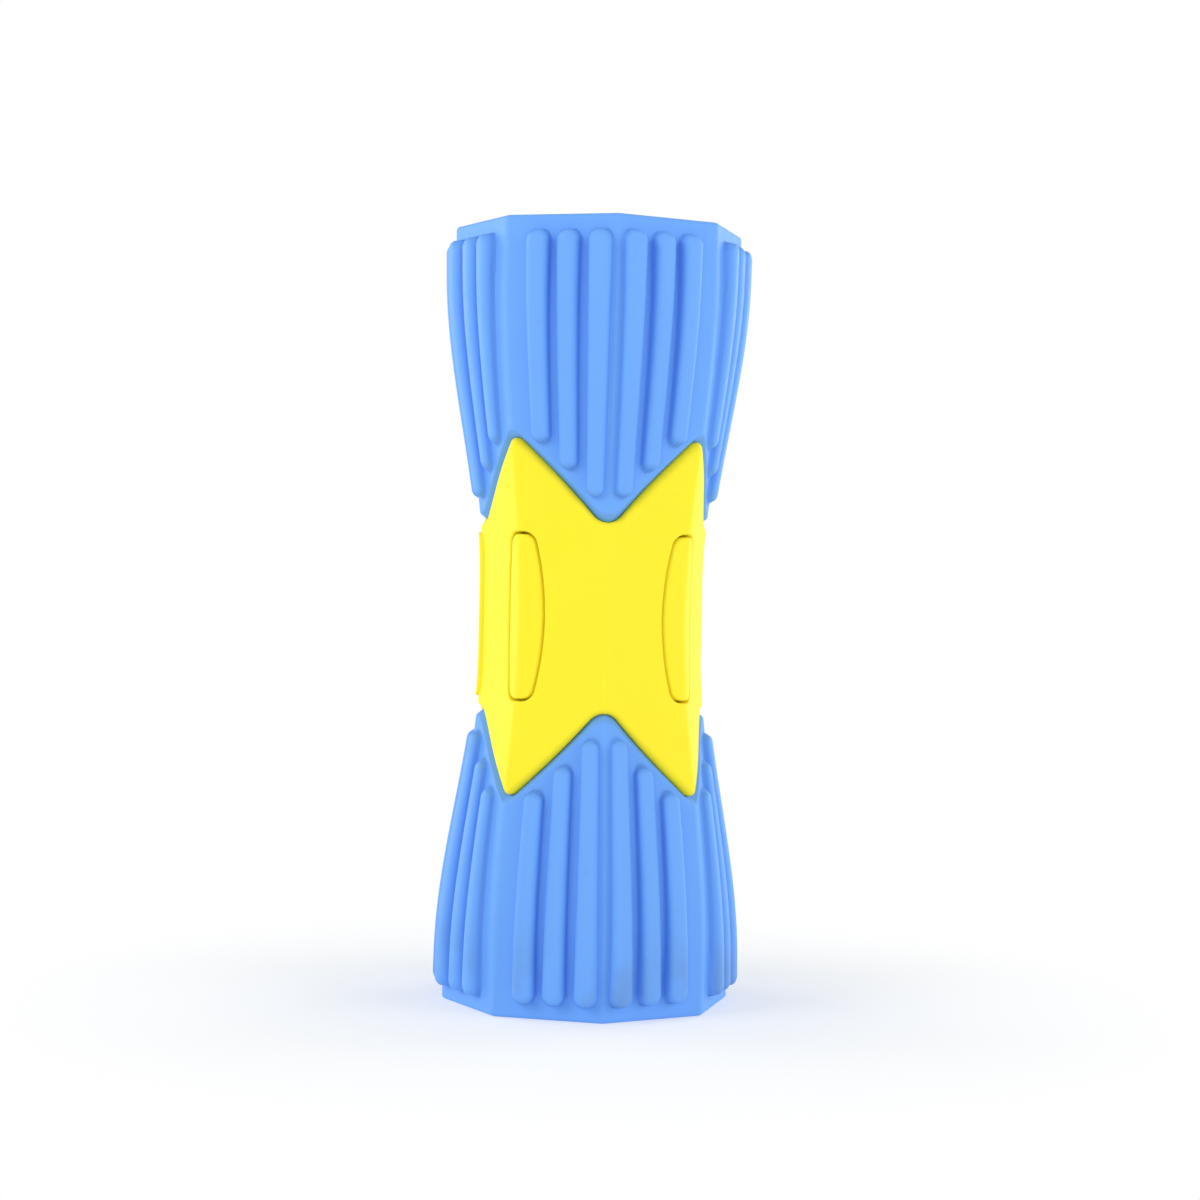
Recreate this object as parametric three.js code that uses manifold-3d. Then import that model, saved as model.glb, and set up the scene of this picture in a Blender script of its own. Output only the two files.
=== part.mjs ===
// Hourglass toy barrel: two ribbed eight-sided rubber shells joined at the waist, a star-edged waist
// band with four press-in pads, a pull-out end plug and a squeaker.
// Millimetres, +Z up, origin at the middle of the base.

import * as THREE from "three";
import { ParametricGeometry } from "three/addons/geometries/ParametricGeometry.js";
import { mergeVertices } from "three/addons/utils/BufferGeometryUtils.js";
import Module from "manifold-3d";

const wasm = await Module();
wasm.setup();

// ---- Driving dimensions. A "rise" is a height measured from the waist, towards either open end. ----

const LENGTH = 165;
const END_RISE = LENGTH / 2;
const SIDES = 8;
const TURN = (2 * Math.PI) / SIDES;
const WAIST_RADIUS = 24; // over the ridges, as every octagon size here
const END_RADIUS = 31;
const FLARE = [8, 72]; // rises between which the waist opens out to the end
const SWELL = { height: 1.3, rise: 29, spread: 27 }; // of the peak ridges beyond the valley ridges
const FIT_GAP = 0.3; // between neighbouring pieces
const RIM_ROUND = 0.8;

// Zigzag edge of the waist band, along one facet from its valley ridge (0) to its peak ridge (1)
const EDGE_SPAN = 19.6; // facet width at the zigzag
const VALLEY = { rise: 19.4, round: 4.7 };
const PEAK = { rise: 37.1, round: 1.8 };
const SEAM_GAP = 0.45; // between shell and band along the zigzag, measured along the axis
const SEAM_BEVEL = 1.6;

const BAND_THICK = 3;
const BAND_EDGE_ROUND = 1.1;

// Ribs, three to a facet
const RIB_PLACES = [0.15, 0.434, 0.704]; // fractions of the facet width from its valley ridge
const RIB_HEIGHT = { inner: 1.9, outer: 3 };
const RIB_WIDTH = { inner: 3.8, outer: 5 };
const RIB_TO_RIM = 3.2;
const RIB_TO_BAND = 3.7;
const RIB_ROOT = 0.8; // how far a rib is sunk into the facet

// Hollow of a shell
const NECK_BORE = 11.5;
const CHAMBER_BORE = 24;
const BORE_FLARE = [22, 66];
const SEAT_BORE = 26;
const SEAT_RISE = 70; // ledge that the plug or the disc rests on

// Lens-shaped pads on the peak ridges
const PAD = { half: 17.1, waist: 4.6, bow: 77, corner: 2.4 };
const PAD_GROOVE = 0.8;
const PAD_CROWN = 0.25;
const PAD_FACE_DEPTH = 4;
const PAD_FLANGE = { wider: 1.8, top: 3.3, bottom: 4.8 };
const POCKET = { wider: 2.2, floor: 7.1 };

const TABLET = { width: 7, height: 35, corner: 1.6, shift: 2.6, proud: 0.7, root: 2 };

const SLEEVE = { outer: 11.2, inner: 9.4, half: 15 };

const PLUG = { radius: 25.2, bead: 25.7, bottom: SEAT_RISE + FIT_GAP, top: 82, skirt: 3 };
const GRIP = { well: 17, web: 4.6, head: 7.4, headTop: 81, headBottom: 78.6 };

const DISC = { radius: 25.7, bottom: SEAT_RISE + FIT_GAP, top: 81.3, hole: 11.6, seat: 15.4, seatRise: 79 };

const CUP = {
  outer: 11.3,
  inner: 10.1,
  flange: 15.1,
  bottom: 66,
  floor: 67.2,
  lip: 79.3,
  top: 80.6,
  hole: 3.3,
};
const CARRIER = { stem: 3, body: 6.2, bottom: 65.2, shoulder: 67.5, top: 76.4, flat: 0.8 };
const CHANNEL = { half: 1.3, floor: -1.6, start: 69 };
const REED = { thick: 0.5, half: 2, start: 68.4, end: 76 };
const GRILLE = { radius: 9.8, bottom: 78.9, top: 80.2, hole: 1.1, pitch: 4.4, holes: 6 };

// ---- Materials ----

const rubber = (color) => new THREE.MeshStandardMaterial({ color, roughness: 0.62, metalness: 0 });
const BLUE_RUBBER = 0x6ba6f7;
const YELLOW_RUBBER = 0xfff13a;
const hardPlastic = () => new THREE.MeshStandardMaterial({ color: 0xf2f1ea, roughness: 0.4, metalness: 0 });
const reedFilm = () => new THREE.MeshStandardMaterial({ color: 0xd9dde0, roughness: 0.25, metalness: 0 });

// ---- Geometry to solid and back ----

const WELD = 1e-3;

/** The closed surface of a geometry as a solid, without the flat triangles that a pinched row leaves. */
function toSolid(geometry) {
  const bare = new THREE.BufferGeometry();
  bare.setAttribute("position", geometry.getAttribute("position"));
  bare.setIndex(geometry.getIndex());
  const welded = mergeVertices(bare, WELD);
  const corners = [];
  for (let i = 0; i < welded.index.count; i += 3) {
    const [a, b, c] = [0, 1, 2].map((k) => welded.index.getX(i + k));
    if (a !== b && b !== c && c !== a) corners.push(a, b, c);
  }
  const closed = (order) =>
    new wasm.Manifold(
      new wasm.Mesh({
        numProp: 3,
        vertProperties: welded.attributes.position.array,
        triVerts: new Uint32Array(order),
      }),
    );
  const solid = closed(corners);
  return solid.volume() > 0 ? solid : closed(corners.reverse());
}

/** A geometry with flat shading from a solid. */
function toGeometry(solid) {
  const mesh = solid.getMesh();
  const geometry = new THREE.BufferGeometry();
  geometry.setAttribute("position", new THREE.BufferAttribute(mesh.vertProperties, 3));
  geometry.setIndex(new THREE.BufferAttribute(mesh.triVerts, 1));
  geometry.computeVertexNormals();
  return geometry;
}

/** A surface closed both ways: point(column, row) for each column round the axis and row of its loop. */
function closedSurface(columns, rows, point) {
  const place = (u, v, target) =>
    target.copy(point(Math.round(u * columns) % columns, Math.round(v * rows) % rows));
  return toSolid(new ParametricGeometry(place, columns, rows));
}

/** A turned piece: its profile is a closed list of [radius, height]. */
function turned(profile, segments) {
  const loop = [...profile, profile[0]].map(([r, z]) => new THREE.Vector2(r, z));
  const geometry = new THREE.LatheGeometry(loop, segments);
  geometry.rotateX(Math.PI / 2);
  return toSolid(geometry);
}

/** A shape drawn across (x) and along the axis (y), pushed outwards from one distance to another along +X. */
function radialPrism(shape, from, to) {
  const depth = to - from;
  const geometry = new THREE.ExtrudeGeometry(shape, { depth, bevelEnabled: false, curveSegments: 8 });
  const across = new THREE.Vector3(0, 1, 0);
  const along = new THREE.Vector3(0, 0, 1);
  const outwards = new THREE.Vector3(1, 0, 0);
  const place = new THREE.Matrix4().makeBasis(across, along, outwards).setPosition(from, 0, 0);
  return toSolid(geometry.applyMatrix4(place));
}

function block(low, high) {
  const size = new THREE.Vector3().subVectors(high, low);
  const geometry = new THREE.BoxGeometry(size.x, size.y, size.z);
  geometry.translate((low.x + high.x) / 2, (low.y + high.y) / 2, (low.z + high.z) / 2);
  return toSolid(geometry);
}

// ---- The eight-sided flaring form ----

const smoothstep = THREE.MathUtils.smoothstep;
const lerp = THREE.MathUtils.lerp;
const FACE_TO_RIDGE = 1 / Math.cos(TURN / 2); // from a depth under a facet to the same under a ridge

/** Radius over the ridges at a rise from the waist. */
function ridgeRadius(rise) {
  return lerp(WAIST_RADIUS, END_RADIUS, smoothstep(Math.abs(rise), ...FLARE));
}

/** How far a peak ridge stands out beyond the valley ridges at a rise. */
function peakSwell(rise) {
  const away = (Math.abs(rise) - SWELL.rise) / SWELL.spread;
  return SWELL.height * Math.exp(-away * away);
}

function ridgeDirection(ridge) {
  return new THREE.Vector3(Math.cos(ridge * TURN), Math.sin(ridge * TURN), 0);
}

/** The way along one facet: its valley ridge is even, its peak ridge odd. */
function facetWays(facet) {
  const valley = ridgeDirection(facet % 2 ? facet + 1 : facet);
  const peak = ridgeDirection(facet % 2 ? facet : facet + 1);
  return { valley, peak };
}

/** Point at a fraction of the way from the valley ridge to the peak ridge, at a depth under the facet. */
function facetPoint(facet, fraction, rise, depth = 0) {
  const { valley, peak } = facetWays(facet);
  const radius = ridgeRadius(rise) - depth * FACE_TO_RIDGE;
  const swollen = peak.multiplyScalar(radius + peakSwell(rise));
  return valley.multiplyScalar(radius).lerp(swollen, fraction).setZ(rise);
}

/** Height over a V's sharp tip of an edge that climbs at a slope from it, with the tip rounded. */
function roundedClimb(run, slope, round) {
  const secant = Math.hypot(1, slope);
  const tangentRun = (round * slope) / secant;
  if (run >= tangentRun) return slope * run;
  return round * secant - Math.sqrt(round * round - run * run);
}

/** Rise of the zigzag edge at a fraction of the facet from its valley ridge. */
function zigzagRise(fraction) {
  const slopeGuess = (PEAK.rise - VALLEY.rise) / EDGE_SPAN;
  const lift = Math.hypot(1, slopeGuess) - 1;
  const low = VALLEY.rise - VALLEY.round * lift;
  const high = PEAK.rise + PEAK.round * lift;
  const slope = (high - low) / EDGE_SPAN;
  const fromValley = fraction * EDGE_SPAN;
  const fromPeak = EDGE_SPAN - fromValley;
  if (fraction < 0.5) return low + roundedClimb(fromValley, slope, VALLEY.round);
  return high - roundedClimb(fromPeak, slope, PEAK.round);
}

// Rings of the band and the necks between the waist and the zigzag edge, as parts of the edge's rise
const SKIRT_STEPS = [0.25, 0.5, 0.75];

// Columns of the flaring pieces: each facet's fractions from its valley ridge, the peak ridge left out
const COLUMN_FRACTIONS = [0, 0.08, 0.18, 0.44, 0.7, 0.92];
const COLUMNS = SIDES * COLUMN_FRACTIONS.length;

/** Facet and fraction of a column; the facets alternate between valley-first and peak-first. */
function columnPlace(column) {
  const facet = Math.floor(column / COLUMN_FRACTIONS.length);
  const step = column % COLUMN_FRACTIONS.length;
  const fraction = facet % 2 ? [1, ...COLUMN_FRACTIONS.slice(1).reverse()][step] : COLUMN_FRACTIONS[step];
  return { facet, fraction };
}

/** Point at a radius on the column's own direction from the axis. */
function borePoint(column, radius, rise) {
  const { facet, fraction } = columnPlace(column);
  return facetPoint(facet, fraction, rise).setZ(0).setLength(radius).setZ(rise);
}

// ---- Shell: one ribbed end with its hollow and its neck, the waist at z = 0 and the open end up ----

function boreRadius(rise) {
  return lerp(NECK_BORE, CHAMBER_BORE, smoothstep(rise, ...BORE_FLARE));
}

/** The loop of points round the wall at one column, from the neck's foot up the outside and down the bore. */
function shellLoop(column) {
  const { facet, fraction } = columnPlace(column);
  const at = (rise, depth) => facetPoint(facet, fraction, rise, depth);
  const seam = zigzagRise(fraction) + SEAM_GAP;
  const shoulder = seam + SEAM_BEVEL;
  const under = BAND_THICK + FIT_GAP;
  const outside = [0, 0.25, 0.5, 0.75, 1].map((t) => at(lerp(shoulder, FLARE[1], t), 0));
  const bore = [SEAT_RISE, 56, 44, 33, BORE_FLARE[0], FIT_GAP / 2];
  return [
    at(FIT_GAP / 2, under),
    ...SKIRT_STEPS.map((t) => at(seam * t, under)),
    at(seam, under),
    at(seam, SEAM_BEVEL),
    ...outside,
    at(END_RISE - RIM_ROUND, 0),
    at(END_RISE, RIM_ROUND * 0.7),
    borePoint(column, SEAT_BORE, END_RISE),
    borePoint(column, SEAT_BORE, SEAT_RISE),
    ...bore.map((rise) => borePoint(column, boreRadius(rise), rise)),
  ];
}

/** One rib: a rounded bar with pill ends that lies along the facet, sunk a little into it. */
function rib(facet, fraction) {
  const { valley, peak } = facetWays(facet);
  const across = new THREE.Vector3().subVectors(peak, valley).normalize();
  const outwards = new THREE.Vector3().addVectors(valley, peak).normalize();
  const inner = zigzagRise(fraction) + SEAM_GAP + RIB_TO_BAND;
  const outer = END_RISE - RIB_TO_RIM;
  const quarter = [0, 0.25, 0.5].map((t) => t * Math.PI);
  const stations = [
    ...quarter.map((a) => ({ rise: inner + (RIB_WIDTH.inner / 2) * (1 - Math.cos(a)), swell: Math.sin(a) })),
    { rise: lerp(inner, outer, 0.5), swell: 1 },
    ...quarter
      .reverse()
      .map((a) => ({ rise: outer - (RIB_WIDTH.outer / 2) * (1 - Math.cos(a)), swell: Math.sin(a) })),
  ];
  const arc = 4;
  const section = (station, row) => {
    const t = (station.rise - inner) / (outer - inner);
    const width = lerp(RIB_WIDTH.inner, RIB_WIDTH.outer, t);
    const tall = lerp(RIB_HEIGHT.inner, RIB_HEIGHT.outer, t);
    const angle = (Math.PI * Math.min(row, arc)) / arc;
    const rooted = row > arc;
    const sideways = rooted ? (row === arc + 1 ? -1 : 1) : Math.cos(angle);
    const height = rooted ? -RIB_ROOT : tall * Math.sin(angle) * station.swell;
    return facetPoint(facet, fraction, station.rise)
      .addScaledVector(across, (sideways * width * station.swell) / 2)
      .addScaledVector(outwards, height);
  };
  const rows = arc + 3;
  const steps = stations.length - 1;
  const place = (u, v, target) =>
    target.copy(section(stations[Math.round(v * steps)], Math.round(u * rows) % rows));
  return toSolid(new ParametricGeometry(place, rows, steps));
}

function shell() {
  const loops = Array.from({ length: COLUMNS }, (_, column) => shellLoop(column));
  const wall = closedSurface(COLUMNS, loops[0].length, (column, row) => loops[column][row]);
  const ribs = [];
  for (let facet = 0; facet < SIDES; facet += 1) {
    for (const fraction of RIB_PLACES) ribs.push(rib(facet, fraction));
  }
  return wasm.Manifold.union([wall, ...ribs]).subtract(padPockets());
}

// ---- Layers and prisms shared by the pads, their windows and their pockets ----

/** An eight-sided tube that lies between two depths under the outer form, from one rise to another. */
function layer(depthOut, depthIn, from, to) {
  const rises = [0, 0.25, 0.5, 0.75, 1].map((t) => lerp(from, to, t));
  const loop = [...rises.map((rise) => [rise, depthOut]), ...rises.reverse().map((rise) => [rise, depthIn])];
  return closedSurface(SIDES, loop.length, (column, row) => facetPoint(column, column % 2, ...loop[row]));
}

/** Lens outline of a pad, grown by a margin: two shallow bows closed by small round corners and flat ends. */
function padShape(margin) {
  const tilt = Math.cos(TURN / 2); // a pad wraps over its ridge, so it shows narrower from straight ahead
  const bow = (rise) => PAD.waist - PAD.bow + Math.sqrt(PAD.bow ** 2 - rise ** 2);
  const cornerRise = PAD.half - PAD.corner;
  const side = Array.from({ length: 5 }, (_, i) => {
    const rise = (cornerRise * i) / 4;
    return [bow(rise) + margin, rise];
  });
  const corner = [0.33, 0.66, 1].map((t) => {
    const angle = (t * Math.PI) / 2;
    const radius = PAD.corner + margin;
    return [bow(cornerRise) - PAD.corner + radius * Math.cos(angle), cornerRise + radius * Math.sin(angle)];
  });
  const quarter = [...side, ...corner];
  const mirrored = (signX, signY, list) => list.map(([x, y]) => [signX * x, signY * y]);
  const outline = [
    ...quarter,
    ...mirrored(-1, 1, quarter).reverse(),
    ...mirrored(-1, -1, quarter).slice(1),
    ...mirrored(1, -1, quarter).slice(1).reverse(),
  ];
  return new THREE.Shape(outline.map(([x, y]) => new THREE.Vector2(x * tilt, y)));
}

const REACH = 40; // past the outer form at any ridge

function padPrism(margin) {
  return radialPrism(padShape(margin), 1, REACH);
}

/** The same solid on each of the four peak ridges. */
function onPeakRidges(solid) {
  const turns = [45, 135, 225, 315];
  return wasm.Manifold.union(turns.map((angle) => solid.rotate([0, 0, angle])));
}

function padPockets() {
  const reach = PAD.half + POCKET.wider + 1;
  const pocket = padPrism(POCKET.wider).intersect(layer(BAND_THICK - 1, POCKET.floor, -reach, reach));
  return onPeakRidges(pocket);
}

/** A pad on the +X ridge: a crowned face in the band's window and a wider flange behind the band. */
function pad() {
  const reach = PAD.half + PAD_FLANGE.wider + 1;
  const face = padPrism(0).intersect(layer(-PAD_CROWN, PAD_FACE_DEPTH, -reach, reach));
  const flangeLayer = layer(PAD_FLANGE.top, PAD_FLANGE.bottom, -reach, reach);
  const flange = padPrism(PAD_FLANGE.wider).intersect(flangeLayer);
  return face.add(flange);
}

// ---- Waist band ----

function bandLoop(column) {
  const { facet, fraction } = columnPlace(column);
  const edge = zigzagRise(fraction);
  const at = (rise, depth) => facetPoint(facet, fraction, rise, depth);
  const upper = [
    at(0, 0),
    ...SKIRT_STEPS.map((t) => at(edge * t, 0)),
    at(edge - BAND_EDGE_ROUND, 0),
    at(edge, BAND_EDGE_ROUND),
    at(edge, BAND_THICK),
    ...SKIRT_STEPS.toReversed().map((t) => at(edge * t, BAND_THICK)),
  ];
  const mirror = (point) => point.clone().setZ(-point.z);
  return [...upper, at(0, BAND_THICK), ...upper.slice(1).reverse().map(mirror)];
}

/** Plain low tablet that starts on the band's -X ridge and lies mostly on the facet behind it. */
function tablet() {
  const { width, height, corner, shift, proud, root } = TABLET;
  const [x, y] = [width / 2, height / 2];
  const shape = new THREE.Shape();
  shape.moveTo(x - corner, -y);
  shape.absarc(x - corner, corner - y, corner, -Math.PI / 2, 0);
  shape.absarc(x - corner, y - corner, corner, 0, Math.PI / 2);
  shape.absarc(corner - x, y - corner, corner, Math.PI / 2, Math.PI);
  shape.absarc(corner - x, corner - y, corner, Math.PI, 1.5 * Math.PI);
  const wrapped = layer(-proud, root, -height, height);
  return radialPrism(shape, 1, REACH).rotate([0, 0, 180]).translate([0, shift, 0]).intersect(wrapped);
}

function waistBand() {
  const loops = Array.from({ length: COLUMNS }, (_, column) => bandLoop(column));
  const sleeve = closedSurface(COLUMNS, loops[0].length, (column, row) => loops[column][row]);
  return sleeve.subtract(onPeakRidges(padPrism(PAD_GROOVE))).add(tablet());
}

// ---- Pieces inside the hollow and at its two mouths ----

function joiningSleeve() {
  const { outer, inner, half } = SLEEVE;
  return turned([[inner, -half], [outer, -half], [outer, half], [inner, half]], 32);
}

/** Pull-out plug: two sealing beads round its skirt, and a finger well crossed by a T-shaped grip. */
function endPlug() {
  const { radius, bead, bottom, top, skirt } = PLUG;
  const body = turned(
    [
      [0, bottom],
      [radius - 1, bottom],
      [radius, bottom + 1],
      [radius, bottom + 2.6],
      [bead, bottom + 3.6],
      [radius, bottom + 4.6],
      [radius, bottom + 6.4],
      [bead, bottom + 7.4],
      [radius, bottom + 8.4],
      [radius, top - 1],
      [radius - 1, top],
      [GRIP.well + 1, top],
      [GRIP.well, top - 1],
      [GRIP.well, bottom + skirt],
      [0, bottom + skirt],
    ],
    40,
  );
  const reach = GRIP.well + 0.5;
  const web = block(
    new THREE.Vector3(-GRIP.web / 2, -reach, bottom + 1),
    new THREE.Vector3(GRIP.web / 2, reach, GRIP.headTop - 1),
  );
  const head = block(
    new THREE.Vector3(-GRIP.head / 2, -reach, GRIP.headBottom),
    new THREE.Vector3(GRIP.head / 2, reach, GRIP.headTop),
  );
  return wasm.Manifold.union([body, web, head]);
}

function endDisc() {
  const { radius, bottom, top, hole, seat, seatRise } = DISC;
  const profile = [
    [hole, bottom],
    [radius, bottom],
    [radius, top - 1],
    [radius - 1, top],
    [seat, top],
    [seat, seatRise],
    [hole, seatRise],
  ];
  return turned(profile, 40);
}

function squeakerCup() {
  const { outer, inner, flange, bottom, floor, lip, top, hole } = CUP;
  const profile = [
    [hole, bottom],
    [outer, bottom],
    [outer, lip],
    [flange, lip],
    [flange, top - 0.4],
    [flange - 0.4, top],
    [inner, top],
    [inner, floor],
    [hole, floor],
  ];
  return turned(profile, 32);
}

/** Plug of the reed: a stem through the cup's floor, a flat for the reed and an air channel under it. */
function reedCarrier() {
  const { stem, body, bottom, shoulder, top, flat } = CARRIER;
  const profile = [
    [0, bottom],
    [stem, bottom],
    [stem, shoulder],
    [body, shoulder],
    [body, top],
    [0, top],
  ];
  const plug = turned(profile, 24);
  const flatCut = block(
    new THREE.Vector3(flat, -body - 1, REED.start - FIT_GAP),
    new THREE.Vector3(body + 1, body + 1, top + 1),
  );
  const channelCut = block(
    new THREE.Vector3(CHANNEL.floor, -CHANNEL.half, CHANNEL.start),
    new THREE.Vector3(flat + 1, CHANNEL.half, top + 1),
  );
  const airway = turned([[0, bottom - 1], [CHANNEL.half, bottom - 1], [CHANNEL.half, top], [0, top]], 12);
  return plug.subtract(flatCut).subtract(channelCut).subtract(airway);
}

function squeakerReed() {
  const low = CARRIER.flat + FIT_GAP;
  return block(
    new THREE.Vector3(low, -REED.half, REED.start),
    new THREE.Vector3(low + REED.thick, REED.half, REED.end),
  );
}

/** Round grille that closes the cup's mouth, with one middle hole and a ring of others. */
function squeakerCover() {
  const shape = new THREE.Shape();
  shape.absarc(0, 0, GRILLE.radius, 0, 2 * Math.PI);
  const hole = (x, y) => new THREE.Path().absarc(x, y, GRILLE.hole, 0, 2 * Math.PI, true);
  shape.holes.push(hole(0, 0));
  for (let i = 0; i < GRILLE.holes; i += 1) {
    const angle = (i * 2 * Math.PI) / GRILLE.holes;
    shape.holes.push(hole(GRILLE.pitch * Math.cos(angle), GRILLE.pitch * Math.sin(angle)));
  }
  const depth = GRILLE.top - GRILLE.bottom;
  const geometry = new THREE.ExtrudeGeometry(shape, { depth, bevelEnabled: false, curveSegments: 8 });
  return toSolid(geometry.translate(0, 0, GRILLE.bottom));
}

// ---- Assembly ----

function piece(name, solid, material) {
  const mesh = new THREE.Mesh(toGeometry(solid), material);
  mesh.name = name;
  return mesh;
}

const barrel = new THREE.Group();
const waist = new THREE.Group();
waist.position.z = END_RISE;
barrel.add(waist);

const upperEnd = new THREE.Group();
const lowerEnd = new THREE.Group();
lowerEnd.rotation.x = Math.PI;
waist.add(upperEnd, lowerEnd);

const shellSolid = shell();
upperEnd.add(
  piece("upper_shell", shellSolid, rubber(BLUE_RUBBER)),
  piece("end_plug", endPlug(), rubber(YELLOW_RUBBER)),
);
lowerEnd.add(
  piece("lower_shell", shellSolid, rubber(BLUE_RUBBER)),
  piece("end_disc", endDisc(), rubber(BLUE_RUBBER)),
  piece("squeaker_cup", squeakerCup(), hardPlastic()),
  piece("reed_carrier", reedCarrier(), hardPlastic()),
  piece("squeaker_reed", squeakerReed(), reedFilm()),
  piece("squeaker_cover", squeakerCover(), hardPlastic()),
);
waist.add(
  piece("joining_sleeve", joiningSleeve(), hardPlastic()),
  piece("waist_band", waistBand(), rubber(YELLOW_RUBBER)),
);

const PAD_NAMES = ["pad_back_right", "pad_back_left", "pad_front_left", "pad_front_right"];
const padSolid = pad();
PAD_NAMES.forEach((name, i) => {
  const mesh = piece(name, padSolid, rubber(YELLOW_RUBBER));
  mesh.rotation.z = (2 * i + 1) * TURN;
  waist.add(mesh);
});

export default barrel;
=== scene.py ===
"""Looks of an hourglass rubber toy barrel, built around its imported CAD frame.

Sizes are in millimetres and a "rise" is a height measured from the waist, towards either open end.
Meshes are turned into metres when they are made, in the same frame as the CAD part.
"""

from __future__ import annotations

import logging
import math
from dataclasses import dataclass, field, replace
from enum import Enum

import bmesh
import bpy
import numpy as np
from mathutils import Euler, Matrix, Vector


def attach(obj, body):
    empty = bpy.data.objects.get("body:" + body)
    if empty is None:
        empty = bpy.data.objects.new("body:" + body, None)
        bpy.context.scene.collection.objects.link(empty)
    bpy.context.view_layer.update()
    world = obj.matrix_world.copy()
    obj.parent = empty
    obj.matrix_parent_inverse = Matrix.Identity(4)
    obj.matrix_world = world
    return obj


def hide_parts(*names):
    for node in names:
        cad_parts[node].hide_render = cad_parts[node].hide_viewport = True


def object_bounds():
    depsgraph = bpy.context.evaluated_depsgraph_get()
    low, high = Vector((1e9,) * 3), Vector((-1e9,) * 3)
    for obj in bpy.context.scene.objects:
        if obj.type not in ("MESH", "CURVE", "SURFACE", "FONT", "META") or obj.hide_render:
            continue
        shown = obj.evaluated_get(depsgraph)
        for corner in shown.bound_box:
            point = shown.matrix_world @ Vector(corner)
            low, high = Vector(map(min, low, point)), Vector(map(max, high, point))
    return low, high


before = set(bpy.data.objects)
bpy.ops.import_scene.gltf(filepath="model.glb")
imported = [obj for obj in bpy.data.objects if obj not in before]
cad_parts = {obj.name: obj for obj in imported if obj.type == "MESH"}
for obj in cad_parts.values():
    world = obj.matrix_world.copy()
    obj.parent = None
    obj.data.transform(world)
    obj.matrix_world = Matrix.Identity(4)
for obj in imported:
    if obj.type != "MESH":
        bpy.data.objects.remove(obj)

MM = 0.001
CAD_BOX = [list(corner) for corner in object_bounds()]
LENGTH = (CAD_BOX[1][2] - CAD_BOX[0][2]) / MM
HALF_LENGTH = LENGTH / 2
FIT_GAP = 0.3
QUARTER_TURN = math.pi / 2

log = logging.getLogger("toy_barrel")


# ---------------------------------------------------------------- named choices


class Slot(Enum):
    """Material slots of the record."""

    BLUE = "blue_rubber"
    YELLOW = "yellow_rubber"
    SQUEAKER = "squeaker_plastic"
    SLEEVE = "sleeve_plastic"


class Body(Enum):
    """Moving bodies of the frame that take new pieces."""

    BARREL = "barrel"
    PLUG = "plug"


class End(Enum):
    """Which way an end's own upward axis points in the frame: the lower end is turned over about X."""

    UPPER = 1
    LOWER = -1


# ---------------------------------------------------------------- mesh making


def placed(points: np.ndarray, end: End = End.UPPER) -> np.ndarray:
    """Moves points from the waist's frame to the CAD frame.

    Args:
        points: array of x, y and rise in millimetres, in its last axis.
        end: the end that the points were drawn for.

    Returns:
        The same points in metres in the CAD frame.
    """
    turned_over = np.array([1.0, end.value, end.value])
    return (points * turned_over + np.array([0.0, 0.0, HALF_LENGTH])) * MM


def mesh_object(name: str, points: np.ndarray, faces: list, smooth_angle: float = 40.0) -> bpy.types.Object:
    """Makes a welded mesh object with faces pointing outwards.

    Args:
        name: the piece's name.
        points: vertex places in metres, one row each.
        faces: corner indices of each face.
        smooth_angle: edges that bend more than this many degrees stay sharp.

    Returns:
        The new object, linked to the scene and at the origin.
    """
    mesh = bpy.data.meshes.new(name)
    mesh.from_pydata(points.tolist(), [], faces)
    work = bmesh.new()
    work.from_mesh(mesh)
    bmesh.ops.remove_doubles(work, verts=work.verts, dist=0.002 * MM)
    bmesh.ops.dissolve_degenerate(work, edges=work.edges, dist=0.0005 * MM)
    bmesh.ops.recalc_face_normals(work, faces=work.faces)
    work.to_mesh(mesh)
    work.free()
    piece = bpy.data.objects.new(name, mesh)
    bpy.context.scene.collection.objects.link(piece)
    smooth(piece, smooth_angle)
    return piece


def smooth(piece: bpy.types.Object, angle: float) -> None:
    """Shades a piece smooth, and keeps edges that bend more than angle degrees sharp.

    Args:
        piece: the piece.
        angle: the least bend that stays sharp, in degrees.
    """
    mesh = piece.data
    mesh.shade_smooth()
    mesh.set_sharp_from_angle(angle=math.radians(angle))


def grid_faces(rows: int, columns: int, loop_rows: bool, loop_columns: bool) -> list:
    """Lists the quads of a grid of points.

    Args:
        rows: number of rows.
        columns: number of points in each row.
        loop_rows: the last row joins the first.
        loop_columns: each row closes on itself.

    Returns:
        Four indices for each quad.
    """
    row = np.arange(rows if loop_rows else rows - 1)[:, None]
    column = np.arange(columns if loop_columns else columns - 1)[None, :]
    below = (row + 1) % rows
    right = (column + 1) % columns
    row, below = row * columns, below * columns
    corners = [row + column, row + right, below + right, below + column]
    return np.stack(corners, axis=-1).reshape(-1, 4).tolist()


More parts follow.
